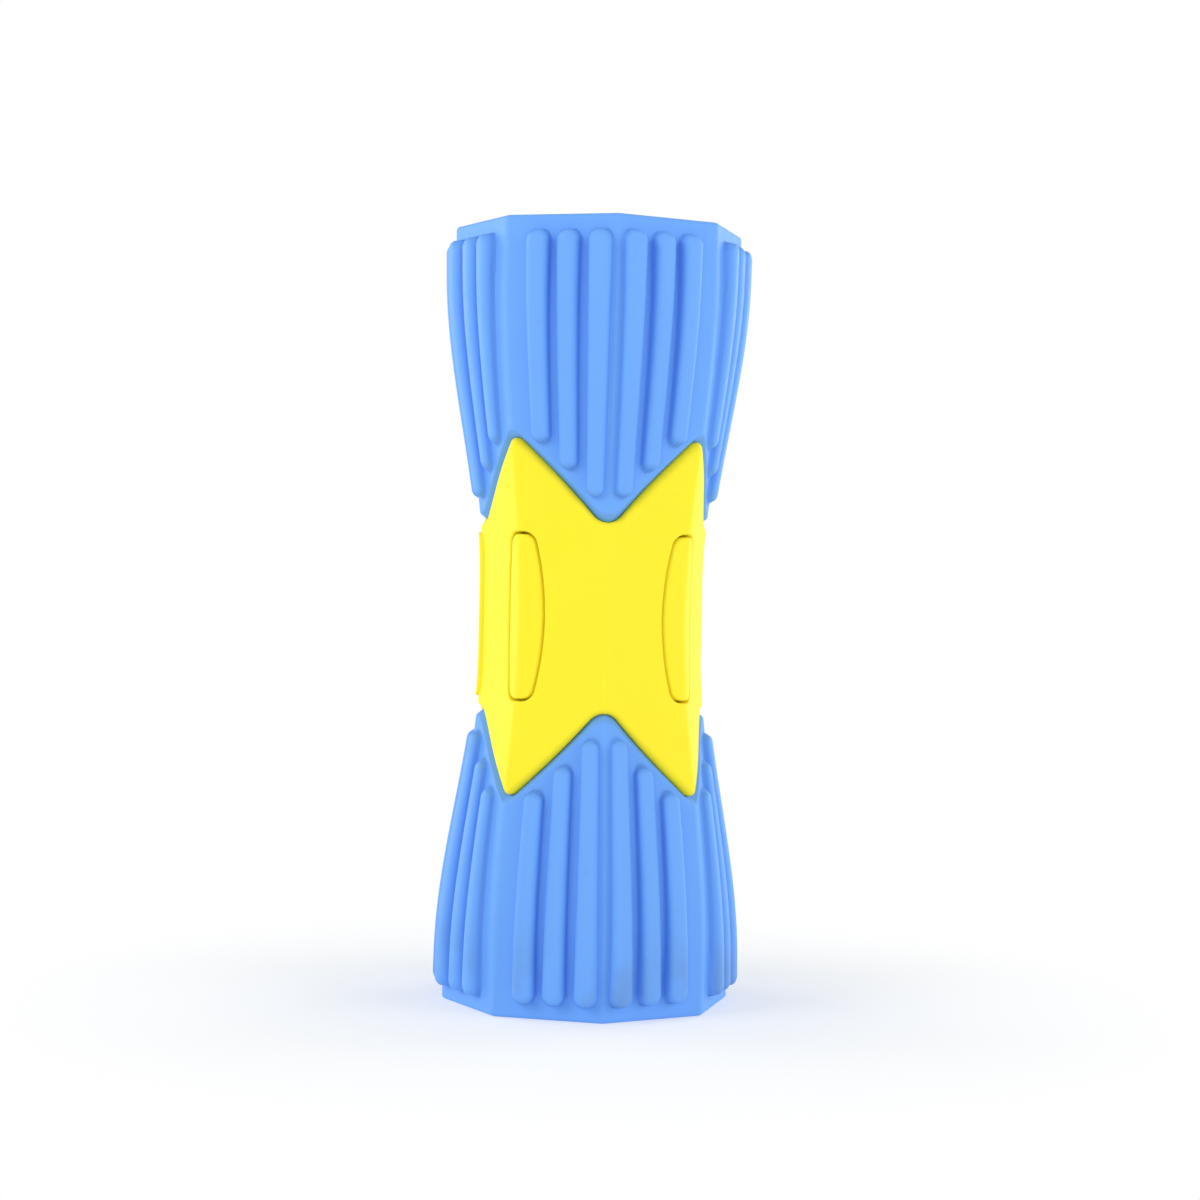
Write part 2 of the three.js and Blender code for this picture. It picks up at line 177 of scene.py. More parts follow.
def rounded_profile(corners: list, steps: int = 5) -> np.ndarray:
    """Rounds the corners of a closed outline.

    Args:
        corners: (x, y, radius) of each corner in order.
        steps: points on each rounded corner.

    Returns:
        The outline's points, one row each.
    """
    spots = [np.array(corner[:2], float) for corner in corners]
    outline = []
    for i, (spot, corner) in enumerate(zip(spots, corners)):
        radius = corner[2]
        if radius == 0:
            outline.append(spot)
            continue
        back = spots[i - 1] - spot
        ahead = spots[(i + 1) % len(spots)] - spot
        back, ahead = back / np.linalg.norm(back), ahead / np.linalg.norm(ahead)
        half = math.acos(float(np.clip(back @ ahead, -1, 1))) / 2
        reach = radius / math.tan(half)
        middle = (back + ahead) / np.linalg.norm(back + ahead)
        centre = spot + middle * radius / math.sin(half)
        start = spot + back * reach - centre
        finish = spot + ahead * reach - centre
        sweep = math.pi - 2 * half
        for t in np.linspace(0, 1, steps):
            blend = (start * math.sin((1 - t) * sweep) + finish * math.sin(t * sweep)) / math.sin(sweep)
            outline.append(centre + blend)
    return np.array(outline)


def turned_piece(name: str, profile: np.ndarray, end: End, segments: int = 128) -> bpy.types.Object:
    """Turns a closed outline of (radius, rise) about the axis into a solid.

    Args:
        name: the piece's name.
        profile: the outline's points; points on the axis are welded into a pole.
        end: the end that the piece sits in.
        segments: steps round the axis.

    Returns:
        The new object.
    """
    angles = np.linspace(0, 2 * math.pi, segments, endpoint=False)
    radius, rise = profile[:, 0][:, None], profile[:, 1][:, None]
    points = np.stack([radius * np.cos(angles), radius * np.sin(angles), rise + 0 * angles], axis=-1)
    ring_shaped = profile[0, 0] > 0
    faces = grid_faces(len(profile), segments, ring_shaped, True)
    return mesh_object(name, placed(points, end).reshape(-1, 3), faces)


def bake_modifier(piece: bpy.types.Object) -> None:
    """Replaces a piece's mesh by its evaluated one and removes its modifiers.

    Args:
        piece: a piece with modifiers.
    """
    bpy.context.view_layer.update()
    evaluated = piece.evaluated_get(bpy.context.evaluated_depsgraph_get())
    mesh = bpy.data.meshes.new_from_object(evaluated)
    piece.modifiers.clear()
    piece.data = mesh


def dress(piece: bpy.types.Object, material: bpy.types.Material) -> None:
    """Gives a piece its material.

    Args:
        piece: the piece.
        material: its look.
    """
    piece.data.materials.clear()
    piece.data.materials.append(material)


# ---------------------------------------------------------------- the flaring form


@dataclass(frozen=True)
class BarrelForm:
    """Eight-sided form with rounded ridges that flares from the waist to both ends."""

    waist_radius: float = 24.0
    end_radius: float = 31.0
    flare_start: float = 8.0
    flare_end: float = 72.0
    ridge_round: float = 2.2
    sides: int = 8
    swell: float = 1.3
    swell_rise: float = 29.0
    swell_spread: float = 27.0
    swell_inside: float = 14.0
    swell_blend: float = 4.0

    @property
    def turn(self) -> float:
        """Angle from one ridge to the next."""
        return 2 * math.pi / self.sides

    def ridge_radius(self, rise: np.ndarray) -> np.ndarray:
        """Radius over the sharp ridges at a rise."""
        t = np.clip((np.abs(rise) - self.flare_start) / (self.flare_end - self.flare_start), 0, 1)
        return self.waist_radius + (self.end_radius - self.waist_radius) * t * t * (3 - 2 * t)

    def facet_width(self, rise: np.ndarray, depth: float = 0.0) -> np.ndarray:
        """Width of a facet at a rise, at a depth under it."""
        return 2 * (self.ridge_radius(rise) - depth / math.cos(self.turn / 2)) * math.sin(self.turn / 2)

    def facing(self, along: np.ndarray, rise: np.ndarray, depth: np.ndarray) -> tuple:
        """Finds where a point of the perimeter lies against its nearest ridge.

        Args:
            along: place round the perimeter, in facets from the first valley ridge.
            rise: rise of the point.
            depth: depth under the surface.

        Returns:
            The ridge's angle, the outward normal's angle, the slide along the facet past the
            rounding, the ridge's radius and the rounding's radius there.
        """
        radius = self.ridge_radius(rise) - depth / math.cos(self.turn / 2)
        rounding = np.maximum(self.ridge_round - depth, 0.05)
        facet = np.floor(along)
        part = along - facet
        side = np.where(part > 0.5, -1.0, 1.0)
        ridge = (facet + (part > 0.5)) * self.turn
        away = np.minimum(part, 1 - part) * 2 * radius * math.sin(self.turn / 2)
        tangent = rounding * math.tan(self.turn / 2)
        normal = ridge + side * np.clip(away / tangent, 0, 1) * self.turn / 2
        slide = side * np.maximum(away - tangent, 0)
        return ridge, normal, slide, radius, rounding

    def place(self, along: np.ndarray, rise: np.ndarray, depth: np.ndarray = 0.0) -> np.ndarray:
        """Point of the surface, or of a copy of it at a depth.

        Args:
            along: place round the perimeter, in facets from the first valley ridge.
            rise: rise of the point.
            depth: depth under the surface, square to the facet.

        Returns:
            x, y and rise of each point, in the last axis.
        """
        along, rise, depth = np.broadcast_arrays(along, rise, depth)
        ridge, normal, slide, radius, rounding = self.facing(along, rise, depth)
        centre = radius - rounding / math.cos(self.turn / 2)
        x = centre * np.cos(ridge) + rounding * np.cos(normal) - slide * np.sin(normal)
        y = centre * np.sin(ridge) + rounding * np.sin(normal) + slide * np.cos(normal)
        return np.stack([x, y, rise], axis=-1)

    def swelled(self, points: np.ndarray) -> np.ndarray:
        """Moves points outwards near the peak ridges, which stand prouder than the valley ridges.

        Args:
            points: x, y and rise of each point, in the last axis; the hollow inside stays as it is.

        Returns:
            The moved points.
        """
        x, y, rise = points[..., 0], points[..., 1], points[..., 2]
        radius = np.hypot(x, y)
        away = (np.abs(rise) - self.swell_rise) / self.swell_spread
        near_peak = (1 - np.cos(self.sides / 2 * np.arctan2(y, x))) / 2
        wall = np.clip((radius - self.swell_inside) / self.swell_blend, 0, 1)
        grown = 1 + self.swell * np.exp(-away * away) * near_peak * wall / radius
        return np.stack([x * grown, y * grown, rise], axis=-1)

    def from_valley(self, along: np.ndarray) -> np.ndarray:
        """Fraction of the facet's width from its valley ridge, which is the even one."""
        return 1 - np.abs(np.mod(along, 2) - 1)


@dataclass(frozen=True)
class Zigzag:
    """Edge between the band and a shell: rounded valleys on even ridges, sharper peaks on odd ones."""

    span: float = 19.6
    valley_rise: float = 19.4
    valley_round: float = 4.7
    peak_rise: float = 37.1
    peak_round: float = 1.8

    def rise(self, fraction: np.ndarray) -> np.ndarray:
        """Rise of the edge at a fraction of the facet's width from its valley ridge.

        Args:
            fraction: places across the facet, 0 at its valley ridge and 1 at its peak ridge.

        Returns:
            The edge's rise at each place.
        """
        fraction = np.asarray(fraction, float)
        lift = math.hypot(1, (self.peak_rise - self.valley_rise) / self.span) - 1
        low = self.valley_rise - self.valley_round * lift
        high = self.peak_rise + self.peak_round * lift
        slope = (high - low) / self.span
        run = fraction * self.span
        up = low + self.climb(run, slope, self.valley_round)
        down = high - self.climb(self.span - run, slope, self.peak_round)
        return np.where(fraction < 0.5, up, down)

    @staticmethod
    def climb(run: np.ndarray, slope: float, rounding: float) -> np.ndarray:
        """Height over a sharp tip of an edge that climbs from it, with the tip rounded.

        Args:
            run: distance from the tip along the facet.
            slope: climb of the edge for each step along the facet.
            rounding: radius of the tip's rounding.

        Returns:
            The height at each distance.
        """
        secant = math.hypot(1, slope)
        arc = rounding * secant - np.sqrt(np.maximum(rounding * rounding - run * run, 0))
        return np.where(run >= rounding * slope / secant, slope * run, arc)


@dataclass(frozen=True)
class Lens:
    """Outline of a pad or its window: two shallow bows, closed by small corners and flat ends."""

    half: float = 17.1
    waist: float = 4.6
    bow: float = 77.0
    corner: float = 2.4

    def quarter(self, margin: float, parts: np.ndarray) -> np.ndarray:
        """Points on the quarter from the top end's middle round to the side's middle.

        Args:
            margin: how far the outline is grown.
            parts: places on the quarter, from 0 to 1 by length.

        Returns:
            (across, rise) of each point in millimetres.
        """
        corner_rise = self.half - self.corner
        side_at_corner = self.waist - self.bow + math.sqrt(self.bow**2 - corner_rise**2)
        flat = side_at_corner - self.corner
        radius = self.corner + margin
        turns = np.linspace(QUARTER_TURN, 0, 24)
        corner = np.stack([flat + radius * np.cos(turns), corner_rise + radius * np.sin(turns)], axis=-1)
        rises = np.linspace(corner_rise, 0, 60)[1:]
        side = np.stack([margin + self.waist - self.bow + np.sqrt(self.bow**2 - rises**2), rises], axis=-1)
        path = np.vstack([[[0, corner_rise + radius]], corner, side])
        length = np.concatenate([[0], np.cumsum(np.linalg.norm(np.diff(path, axis=0), axis=1))])
        wanted = parts * length[-1]
        return np.stack([np.interp(wanted, length, path[:, k]) for k in (0, 1)], axis=-1)


def mirrored_ring(quarter: np.ndarray) -> np.ndarray:
    """Closes a quarter, from the top middle to the side middle, into a ring by mirroring it twice.

    Args:
        quarter: points from the top middle to the side middle.

    Returns:
        The points of the whole ring.
    """
    flip_across = np.array([-1.0, 1.0])
    half = np.vstack([quarter, (quarter * -flip_across)[-2::-1]])
    return np.vstack([half, (half * flip_across)[-2:0:-1]])


FORM = BarrelForm()
ZIGZAG = Zigzag()
LENS = Lens()
BAND_THICK = 3.0


# ---------------------------------------------------------------- node trees


class Sketch:
    """Adds and links the nodes of one tree."""

    def __init__(self, tree: bpy.types.NodeTree) -> None:
        """Starts on a tree."""
        self.tree = tree

    def add(self, kind: str, inputs: dict | None = None, **settings: object) -> bpy.types.Node:
        """Adds a node.

        Args:
            kind: the node's type name.
            inputs: a value or a socket to link, by input name or number.
            settings: the node's own options.

        Returns:
            The node.
        """
        node = self.tree.nodes.new(kind)
        for name, value in settings.items():
            setattr(node, name, value)
        for key, value in (inputs or {}).items():
            self.feed(node.inputs[key], value)
        return node

    def feed(self, socket: bpy.types.NodeSocket, value: object) -> None:
        """Links a socket to an input, or sets the input's value.

        Args:
            socket: the input.
            value: a socket to link, or a plain value.
        """
        if isinstance(value, bpy.types.NodeSocket):
            self.tree.links.new(value, socket)
        else:
            socket.default_value = value

    def math(self, operation: str, *values: object) -> bpy.types.NodeSocket:
        """Result of a math node on one to three values."""
        return self.add("ShaderNodeMath", dict(enumerate(values)), operation=operation).outputs[0]

    def ramp(self, value: object, low: object, high: object, start: float = 0, end: float = 1) -> object:
        """Smooth step of a value from start to end, as it goes from low to high."""
        inputs = {"Value": value, "From Min": low, "From Max": high, "To Min": start, "To Max": end}
        return self.add("ShaderNodeMapRange", inputs, interpolation_type="SMOOTHSTEP").outputs[0]

    def mix(self, factor: object, first: object, second: object) -> bpy.types.NodeSocket:
        """Colour between first and second.

        Args:
            factor: share of the second colour.
            first: a colour or a socket.
            second: a colour or a socket.

        Returns:
            The mixed colour.
        """
        node = self.add("ShaderNodeMix", data_type="RGBA")
        for i, value in ((0, factor), (6, first), (7, second)):
            self.feed(node.inputs[i], value)
        return node.outputs[2]

    def pointiness(self) -> bpy.types.NodeSocket:
        """How far the surface bulges outwards, in a material."""
        return self.add("ShaderNodeNewGeometry").outputs["Pointiness"]

    def crest(self) -> bpy.types.NodeSocket:
        """Height on a rib in ribs' heights, in a material."""
        return self.add("ShaderNodeAttribute", attribute_name="crest").outputs["Fac"]

    def attribute(self, name: str, kind: str = "FLOAT") -> bpy.types.NodeSocket:
        """Named attribute of the mesh, in a geometry tree."""
        return self.add("GeometryNodeInputNamedAttribute", {"Name": name}, data_type=kind).outputs[0]


def new_material(name: str) -> tuple:
    """Makes an empty material and the sketch of its tree.

    Args:
        name: the material's name.

    Returns:
        The material and its sketch.
    """
    made = bpy.data.materials.new(name)
    made.use_nodes = True
    made.node_tree.nodes.clear()
    return made, Sketch(made.node_tree)


class GeometryTree:
    """A geometry tree with named inputs, used once as a modifier and then baked."""

    def __init__(self, name: str) -> None:
        """Makes an empty tree that takes and gives a mesh.

        Args:
            name: the tree's name.
        """
        self.tree = bpy.data.node_groups.new(name, "GeometryNodeTree")
        self.tree.interface.new_socket("Geometry", in_out="INPUT", socket_type="NodeSocketGeometry")
        self.tree.interface.new_socket("Geometry", in_out="OUTPUT", socket_type="NodeSocketGeometry")
        self.sketch = Sketch(self.tree)
        self.entry = self.tree.nodes.new("NodeGroupInput")
        self.values: dict[str, object] = {}

    def size(self, name: str, value: float) -> bpy.types.NodeSocket:
        """Adds a named number with its value and returns its socket."""
        return self.named(name, "NodeSocketFloat", value)

    def named(self, name: str, kind: str, value: object) -> bpy.types.NodeSocket:
        """Adds a named input of any kind with its value and returns its socket.

        Args:
            name: the input's name.
            kind: the input's socket type.
            value: its value.

        Returns:
            The input's socket inside the tree.
        """
        socket = self.tree.interface.new_socket(name, in_out="INPUT", socket_type=kind)
        self.values[socket.identifier] = value
        return self.entry.outputs[name]

    def close(self, geometry: bpy.types.NodeSocket, material: bpy.types.Material) -> None:
        """Ends the tree: real geometry with its material.

        Args:
            geometry: what the tree gives.
            material: the look it gets.
        """
        chosen = self.named("Material", "NodeSocketMaterial", material)
        real = self.sketch.add("GeometryNodeRealizeInstances", {0: geometry}).outputs[0]
        dressed = self.sketch.add("GeometryNodeSetMaterial", {"Geometry": real, "Material": chosen})
        self.sketch.add("NodeGroupOutput", {"Geometry": dressed.outputs[0]})

    def bake(self, piece: bpy.types.Object) -> None:
        """Runs the tree on a piece and keeps the result as its mesh.

        Args:
            piece: the piece whose mesh goes through the tree.
        """
        modifier = piece.modifiers.new(self.tree.name, "NODES")
        modifier.node_group = self.tree
        for identifier, value in self.values.items():
            modifier[identifier] = value
        bake_modifier(piece)


# ---------------------------------------------------------------- finishes


@dataclass(frozen=True)
class MouldedRubber:
    """Matt moulded rubber: fine grain, faint mottling, rubbed edges and crests, a few smudges, and painted
    shade in the creases.
    """

    name: str
    colour: tuple
    deep: tuple
    rubbed: tuple
    smudge: tuple
    crease_shade_colour: tuple
    roughness: float = 0.58
    level: float = 0.24
    grain: float = 5200.0
    grain_depth: float = 0.000018
    ribbed: bool = False

    def material(self) -> bpy.types.Material:
        """Builds the material.

        Returns:
            The material.
        """
        made, sketch = new_material(self.name)
        place = sketch.add("ShaderNodeTexCoord").outputs["Object"]
        cloudy = self.noise(sketch, place, 55.0, 3.0)
        speckle = self.noise(sketch, place, 900.0, 2.0)
        grain = self.noise(sketch, place, self.grain, 2.0)
        colour = sketch.mix(sketch.ramp(cloudy, 0.25, 0.75, 0.0, 0.3), self.colour, self.deep)
        worn = sketch.math("MULTIPLY", self.edges(sketch), sketch.ramp(cloudy, 0.3, 0.62))
        colour = sketch.mix(sketch.math("MULTIPLY", worn, 0.45), colour, self.rubbed)
        # painted shade: the crease shade colour darkens the creases and the ribs' feet, where shadow falls
        colour = sketch.mix(self.painted_crease_shade(sketch), colour, self.crease_shade_colour)
        marks = self.marks(sketch, place, cloudy, speckle)
        colour = sketch.mix(marks, colour, self.smudge)
        rough = sketch.math("MULTIPLY_ADD", sketch.ramp(speckle, 0.3, 0.7), 0.08, self.roughness - 0.04)
        rough = sketch.math("MULTIPLY_ADD", worn, -0.08, rough)
        height = sketch.math("MULTIPLY_ADD", speckle, 0.35, grain)
        inputs = {"Height": height, "Strength": 0.55, "Distance": self.grain_depth}
        bump = sketch.add("ShaderNodeBump", inputs)
        inputs = {"Base Color": colour, "Roughness": rough, "Normal": bump.outputs[0]}
        shader = sketch.add("ShaderNodeBsdfPrincipled", inputs)
        shader.inputs["Specular IOR Level"].default_value = self.level
        sketch.add("ShaderNodeOutputMaterial", {"Surface": shader.outputs[0]})
        return made

    @staticmethod
    def noise(sketch: Sketch, place: object, scale: float, detail: float) -> bpy.types.NodeSocket:
        """Noise on the piece's own coordinates."""
        inputs = {"Vector": place, "Scale": scale, "Detail": detail, "Roughness": 0.55}
        return sketch.add("ShaderNodeTexNoise", inputs).outputs[0]

    def edges(self, sketch: Sketch) -> bpy.types.NodeSocket:
        """Where the surface is proud enough to be rubbed: its edges, and the ribs' crests.

        Args:
            sketch: the sketch of the tree.

        Returns:
            The share of rubbing, from 0 to 1.
        """
        proud = sketch.ramp(sketch.pointiness(), 0.52, 0.6)
        if not self.ribbed:
            return proud
        return sketch.math("MAXIMUM", proud, sketch.ramp(sketch.crest(), 0.9, 1.0, 0.0, 0.6))

    def painted_crease_shade(self, sketch: Sketch) -> bpy.types.NodeSocket:
        """Mask of painted shade: where the surface turns inwards, and the feet of the ribs.

        Args:
            sketch: the sketch of the tree.

        Returns:
            The share of painted shade, from 0 to 1.
        """
        # painted shade in concave creases
        inward_shade = sketch.ramp(sketch.pointiness(), 0.49, 0.44, 0.0, 0.4)
        if not self.ribbed:
            return inward_shade
        # painted shade at the ribs' feet, where the grooves between ribs lie in shadow
        crest = sketch.crest()
        raised, low = sketch.ramp(crest, 0.01, 0.1), sketch.ramp(crest, 0.85, 0.35, 0.0, 0.5)
        return sketch.math("MAXIMUM", inward_shade, sketch.math("MULTIPLY", raised, low))

    def marks(self, sketch: Sketch, place: object, cloudy: object, speckle: object) -> bpy.types.NodeSocket:
        """Grey rub marks: on the ribs near the base, and small dark scuffs near the top rim.

        Args:
            sketch: the material's tree.
            place: the piece's own coordinates.
            cloudy: broad noise.
            speckle: fine noise; not used.

        Returns:
            How much of the smudge colour shows, from 0 to 1.
        """
        patch = self.noise(sketch, place, 210.0, 2.0)
        faint = sketch.ramp(patch, 0.66, 0.82, 0.0, 0.14)
        if not self.ribbed:
            return faint
        height = sketch.add("ShaderNodeSeparateXYZ", {0: place}).outputs[2]
        near_base = sketch.ramp(height, 0.022, 0.006)
        rubbed = sketch.math("MULTIPLY", near_base, sketch.ramp(sketch.crest(), 0.55, 0.95))
        rubbed = sketch.math("MULTIPLY", rubbed, sketch.ramp(cloudy, 0.4, 0.66, 0.0, 0.4))
        near_rim = sketch.ramp(height, 0.156, 0.161)
        scuff = sketch.math("MULTIPLY", near_rim, sketch.ramp(patch, 0.76, 0.79, 0.0, 0.7))
        return sketch.math("MAXIMUM", faint, sketch.math("MAXIMUM", rubbed, scuff))


@dataclass(frozen=True)
class MouldedPlastic:
    """Satin moulded plastic with faint flow marks and a soft eggshell grain."""

    name: str
    colour: tuple
    deep: tuple
    roughness: float = 0.38
    grain: float = 2600.0
    grain_depth: float = 0.00001

    def material(self) -> bpy.types.Material:
        """Builds the material.

        Returns:
            The material.
        """
        made, sketch = new_material(self.name)
        place = sketch.add("ShaderNodeTexCoord").outputs["Object"]
        inputs = {"Vector": place, "Scale": 90.0, "Distortion": 1.2}
        flow = sketch.add("ShaderNodeTexNoise", inputs).outputs[0]
        grain = sketch.add("ShaderNodeTexNoise", {"Vector": place, "Scale": self.grain}).outputs[0]
        colour = sketch.mix(sketch.ramp(flow, 0.35, 0.75, 0.0, 0.5), self.colour, self.deep)
        rough = sketch.math("MULTIPLY_ADD", flow, 0.14, self.roughness - 0.07)
        bump = sketch.add("ShaderNodeBump", {"Height": grain, "Strength": 0.4, "Distance": self.grain_depth})
        inputs = {"Base Color": colour, "Roughness": rough, "Normal": bump.outputs[0]}
        shader = sketch.add("ShaderNodeBsdfPrincipled", inputs)
        sketch.add("ShaderNodeOutputMaterial", {"Surface": shader.outputs[0]})
        return made


BLUE_RUBBER = MouldedRubber(
    name="blue_rubber",
    colour=(0.148, 0.385, 0.91, 1),
    deep=(0.125, 0.345, 0.87, 1),
    rubbed=(0.16, 0.385, 0.87, 1),
    smudge=(0.13, 0.24, 0.48, 1),
    # painted shade colour for the creases and the ribs' feet
    crease_shade_colour=(0.08, 0.23, 0.72, 1),
    ribbed=True,
)
BLUE_DISC_RUBBER = replace(BLUE_RUBBER, name="blue_rubber_disc", ribbed=False)
YELLOW_RUBBER = MouldedRubber(
    name="yellow_rubber",
    colour=(0.96, 0.82, 0.022, 1),
    deep=(0.94, 0.79, 0.018, 1),
    rubbed=(0.97, 0.86, 0.05, 1),
    smudge=(0.62, 0.56, 0.05, 1),
    # painted shade colour for the yellow's creases, such as round the pads
    crease_shade_colour=(0.5, 0.44, 0.012, 1),
    grain_depth=0.000012,
)
SQUEAKER_PLASTIC = MouldedPlastic("squeaker_plastic", (0.86, 0.85, 0.79, 1), (0.80, 0.79, 0.72, 1))
SLEEVE_PLASTIC = MouldedPlastic("sleeve_plastic", (0.72, 0.74, 0.76, 1), (0.66, 0.68, 0.71, 1), 0.45)
REED_FILM = MouldedPlastic("reed_film", (0.70, 0.74, 0.78, 1), (0.62, 0.67, 0.72, 1), 0.2)


# ---------------------------------------------------------------- ribbed shell


@dataclass
class RibbedShell:
    """One flaring blue end with three ribs to a facet, its hollow, and its neck under the band."""

    end: End
    name: str
    node: str
    seam_gap: float = 0.45
    seam_shut: float = 0.08
    seam_bevel: float = 1.75
    rim_round: float = 0.8
    neck_depth: float = BAND_THICK + FIT_GAP
    pocket_depth: float = 7.1
    pocket_reach: float = 20.4
    pocket_from: float = 0.6
    mouth_bore: float = 26.0
    mouth_floor: float = 70.0
    rib_places: tuple = (0.15, 0.434, 0.704)
    rib_half: tuple = (1.9, 2.5)
    rib_height: tuple = (1.9, 3.0)
    rib_to_rim: float = 3.2
    rib_to_band: float = 3.7
    rib_roundness: float = 3.0
    rib_fillet: float = 1.3
    side_slope: float = 3.0
    fine_step: float = 0.33
    dense_reach: float = 8.2
    dense_top: float = 76.0

    def fractions(self) -> np.ndarray:
        """Places of the columns along a facet from its valley ridge, closest where a rib's side is steep.

        Returns:
            The places in rising order, from 0 to 1.
        """
        half = self.rib_half[1] / FORM.facet_width(np.array(HALF_LENGTH))
        side = np.array([0.35, 0.6, 0.76, 0.87, 0.94, 1.0, 1.09, 1.25])
        across = np.concatenate([-side[::-1], [0], side]) * half
        ribs = np.concatenate([place + across for place in self.rib_places])
        valley = [0, 0.009, 0.018, 0.028]
        gaps = [0.292, 0.569]
        peak = [0.86, 0.9, 0.93, 0.95, 0.962, 0.972, 0.982, 0.991, 1]
        places = np.unique(np.concatenate([valley, ribs, gaps, peak]))
        return places[np.concatenate([[True], np.diff(places) > 0.004])]

    def columns(self) -> np.ndarray:
        """Places of all the columns round the perimeter, in facets.

        Returns:
            The places in rising order.
        """
        rising = self.fractions()
        falling = (1 - rising)[::-1]
        return np.concatenate([i + (falling if i % 2 else rising)[:-1] for i in range(FORM.sides)])

    def bore_radius(self, rise: float) -> float:
        """Radius of the hollow: a narrow neck that opens into a wide chamber.

        Args:
            rise: height over the middle of the barrel.

        Returns:
            The radius there.
        """
        neck, chamber, start, finish = 11.5, 24.0, 22.0, 66.0
        t = min(max((rise - start) / (finish - start), 0), 1)
        return neck + (chamber - neck) * t * t * (3 - 2 * t)

    def outside_rows(self, shoulder: np.ndarray) -> list:
        """Rises and depths of the ribbed outside, from the seam's bevel to the rim's rounding.

        Args:
            shoulder: rise of the bevel's end in each column.

        Returns:
            A pair of rise and depth for each row.
        """
        straight_top = HALF_LENGTH - self.rim_round
        near = np.arange(0.1, self.dense_reach, self.fine_step)
        rows = [(shoulder + step, 0.0) for step in near]
        for t in np.linspace(0, 1, 21)[1:]:
            rows.append((shoulder + near[-1] + (self.dense_top - shoulder - near[-1]) * t, 0.0))
        rows += [(0 * shoulder + rise, 0.0) for rise in np.linspace(self.dense_top, straight_top, 20)[1:-1]]
        for turn in np.linspace(0, QUARTER_TURN, 8):
            rise = straight_top + self.rim_round * math.sin(turn)
            rows.append((0 * shoulder + rise, self.rim_round * (1 - math.cos(turn))))
        return rows

    def bore_rows(self) -> list:
        """Radii and rises from the rim's inner edge, down the mouth and hollow, to the neck's foot.

        Returns:
            A pair of radius and rise for each row.
        """
        ease = 0.5
        rows = []
        for turn in np.linspace(0, QUARTER_TURN, 4):
            radius = self.mouth_bore + ease * (1 - math.sin(turn))
            rows.append((radius, HALF_LENGTH - ease * (1 - math.cos(turn))))
        chamber = self.bore_radius(self.mouth_floor)
        rows += [(self.mouth_bore, self.dense_top), (self.mouth_bore, self.mouth_floor + 0.4)]
        rows += [(self.mouth_bore - 0.4, self.mouth_floor), (chamber + 0.3, self.mouth_floor)]
        for rise in np.linspace(self.mouth_floor - 0.3, 22.0, 22):
            rows.append((self.bore_radius(rise), rise))
        return rows + [(self.bore_radius(0), 11.0), (self.bore_radius(0), FIT_GAP / 2)]

    def neck_rows(self, seam: np.ndarray, pocket: np.ndarray) -> list:
        """Rises and depths of the neck from its foot to the seam, with the pads' pockets sunk in it.

        Args:
            seam: rise of the seam in each column.
            pocket: true for the columns that cross a pad's pocket.

        Returns:
            A pair of rise and depth for each row.
        """
        deep = np.where(pocket, self.pocket_depth, self.neck_depth)
        reach = self.pocket_reach
        rows = [(0 * seam + rise, deep) for rise in (FIT_GAP / 2, 7.0, 14.0)]
        rows.append((np.minimum(reach - 0.2, seam - 0.6), deep))
        rows.append((np.minimum(reach, seam - 0.3), self.neck_depth))
        return rows + [(seam, self.neck_depth)]

    def skin(self) -> bpy.types.Object:
        """Builds the smooth wall, and names on it what the ribs are raised from.

        Returns:
            The wall as a piece.
        """
        along = self.columns()
        fraction = FORM.from_valley(along)
        seam = ZIGZAG.rise(fraction) + self.seam_shut
        shoulder = seam + self.seam_bevel
        pocket = fraction > self.pocket_from
        wall = ((0, 1), (0.05, 0.95), (0.5, 0.5), (0.85, 0.13), (0.93, 0.045))
        bevel = [(seam + up * self.seam_bevel, down * self.seam_bevel) for up, down in wall]
        outside = bevel + self.outside_rows(shoulder)
        rows = self.neck_rows(seam, pocket) + outside
        points = [FORM.place(along, rise, depth) for rise, depth in rows]
        ridge = FORM.place(along, np.full_like(along, HALF_LENGTH))
        angle = np.arctan2(ridge[:, 1], ridge[:, 0])
        for radius, rise in self.bore_rows():
            ring = [radius * np.cos(angle), radius * np.sin(angle), 0 * angle + rise]
            points.append(np.stack(ring, axis=-1))
        grid = FORM.swelled(np.stack(points))
        faces = grid_faces(len(grid), len(along), True, True)
        piece = mesh_object(self.name, placed(grid, self.end).reshape(-1, 3), faces, smooth_angle=55)
        first = len(rows) - len(outside)
        self.name_places(piece, grid, along, range(first, len(rows)))
        return piece

    def name_places(self, piece: bpy.types.Object, grid: np.ndarray, along: np.ndarray, outer: range) -> None:
        """Stores on each point what the ribs need: fraction, rise, facet width, normal, side of the wall.

        Args:
            piece: the wall.
            grid: x, y and rise of the wall's points, by row and column.
            along: the columns' places round the perimeter.
            outer: the grid's rows that form the ribbed outside.
        """
        rows, columns = grid.shape[:2]
        facet = np.floor(along)
        turn = (facet + 0.5) * FORM.turn
        normal = np.stack([np.cos(turn), np.sin(turn) * self.end.value, 0 * turn], axis=-1)
        outside = np.zeros((rows, columns))
        outside[outer.start : outer.stop] = 1
        values = {
            "fraction": np.broadcast_to(FORM.from_valley(along), (rows, columns)),
            "rise": grid[:, :, 2] * MM,
            "facet_width": FORM.facet_width(grid[:, :, 2]) * MM,
            "outside": outside,
        }
        for name, value in values.items():
            layer = piece.data.attributes.new(name, "FLOAT", "POINT")
            layer.data.foreach_set("value", np.ascontiguousarray(value, dtype=np.float32).ravel())
        layer = piece.data.attributes.new("facet_normal", "FLOAT_VECTOR", "POINT")
        spread = np.broadcast_to(normal, (rows, columns, 3))
        layer.data.foreach_set("vector", np.ascontiguousarray(spread, dtype=np.float32).ravel())

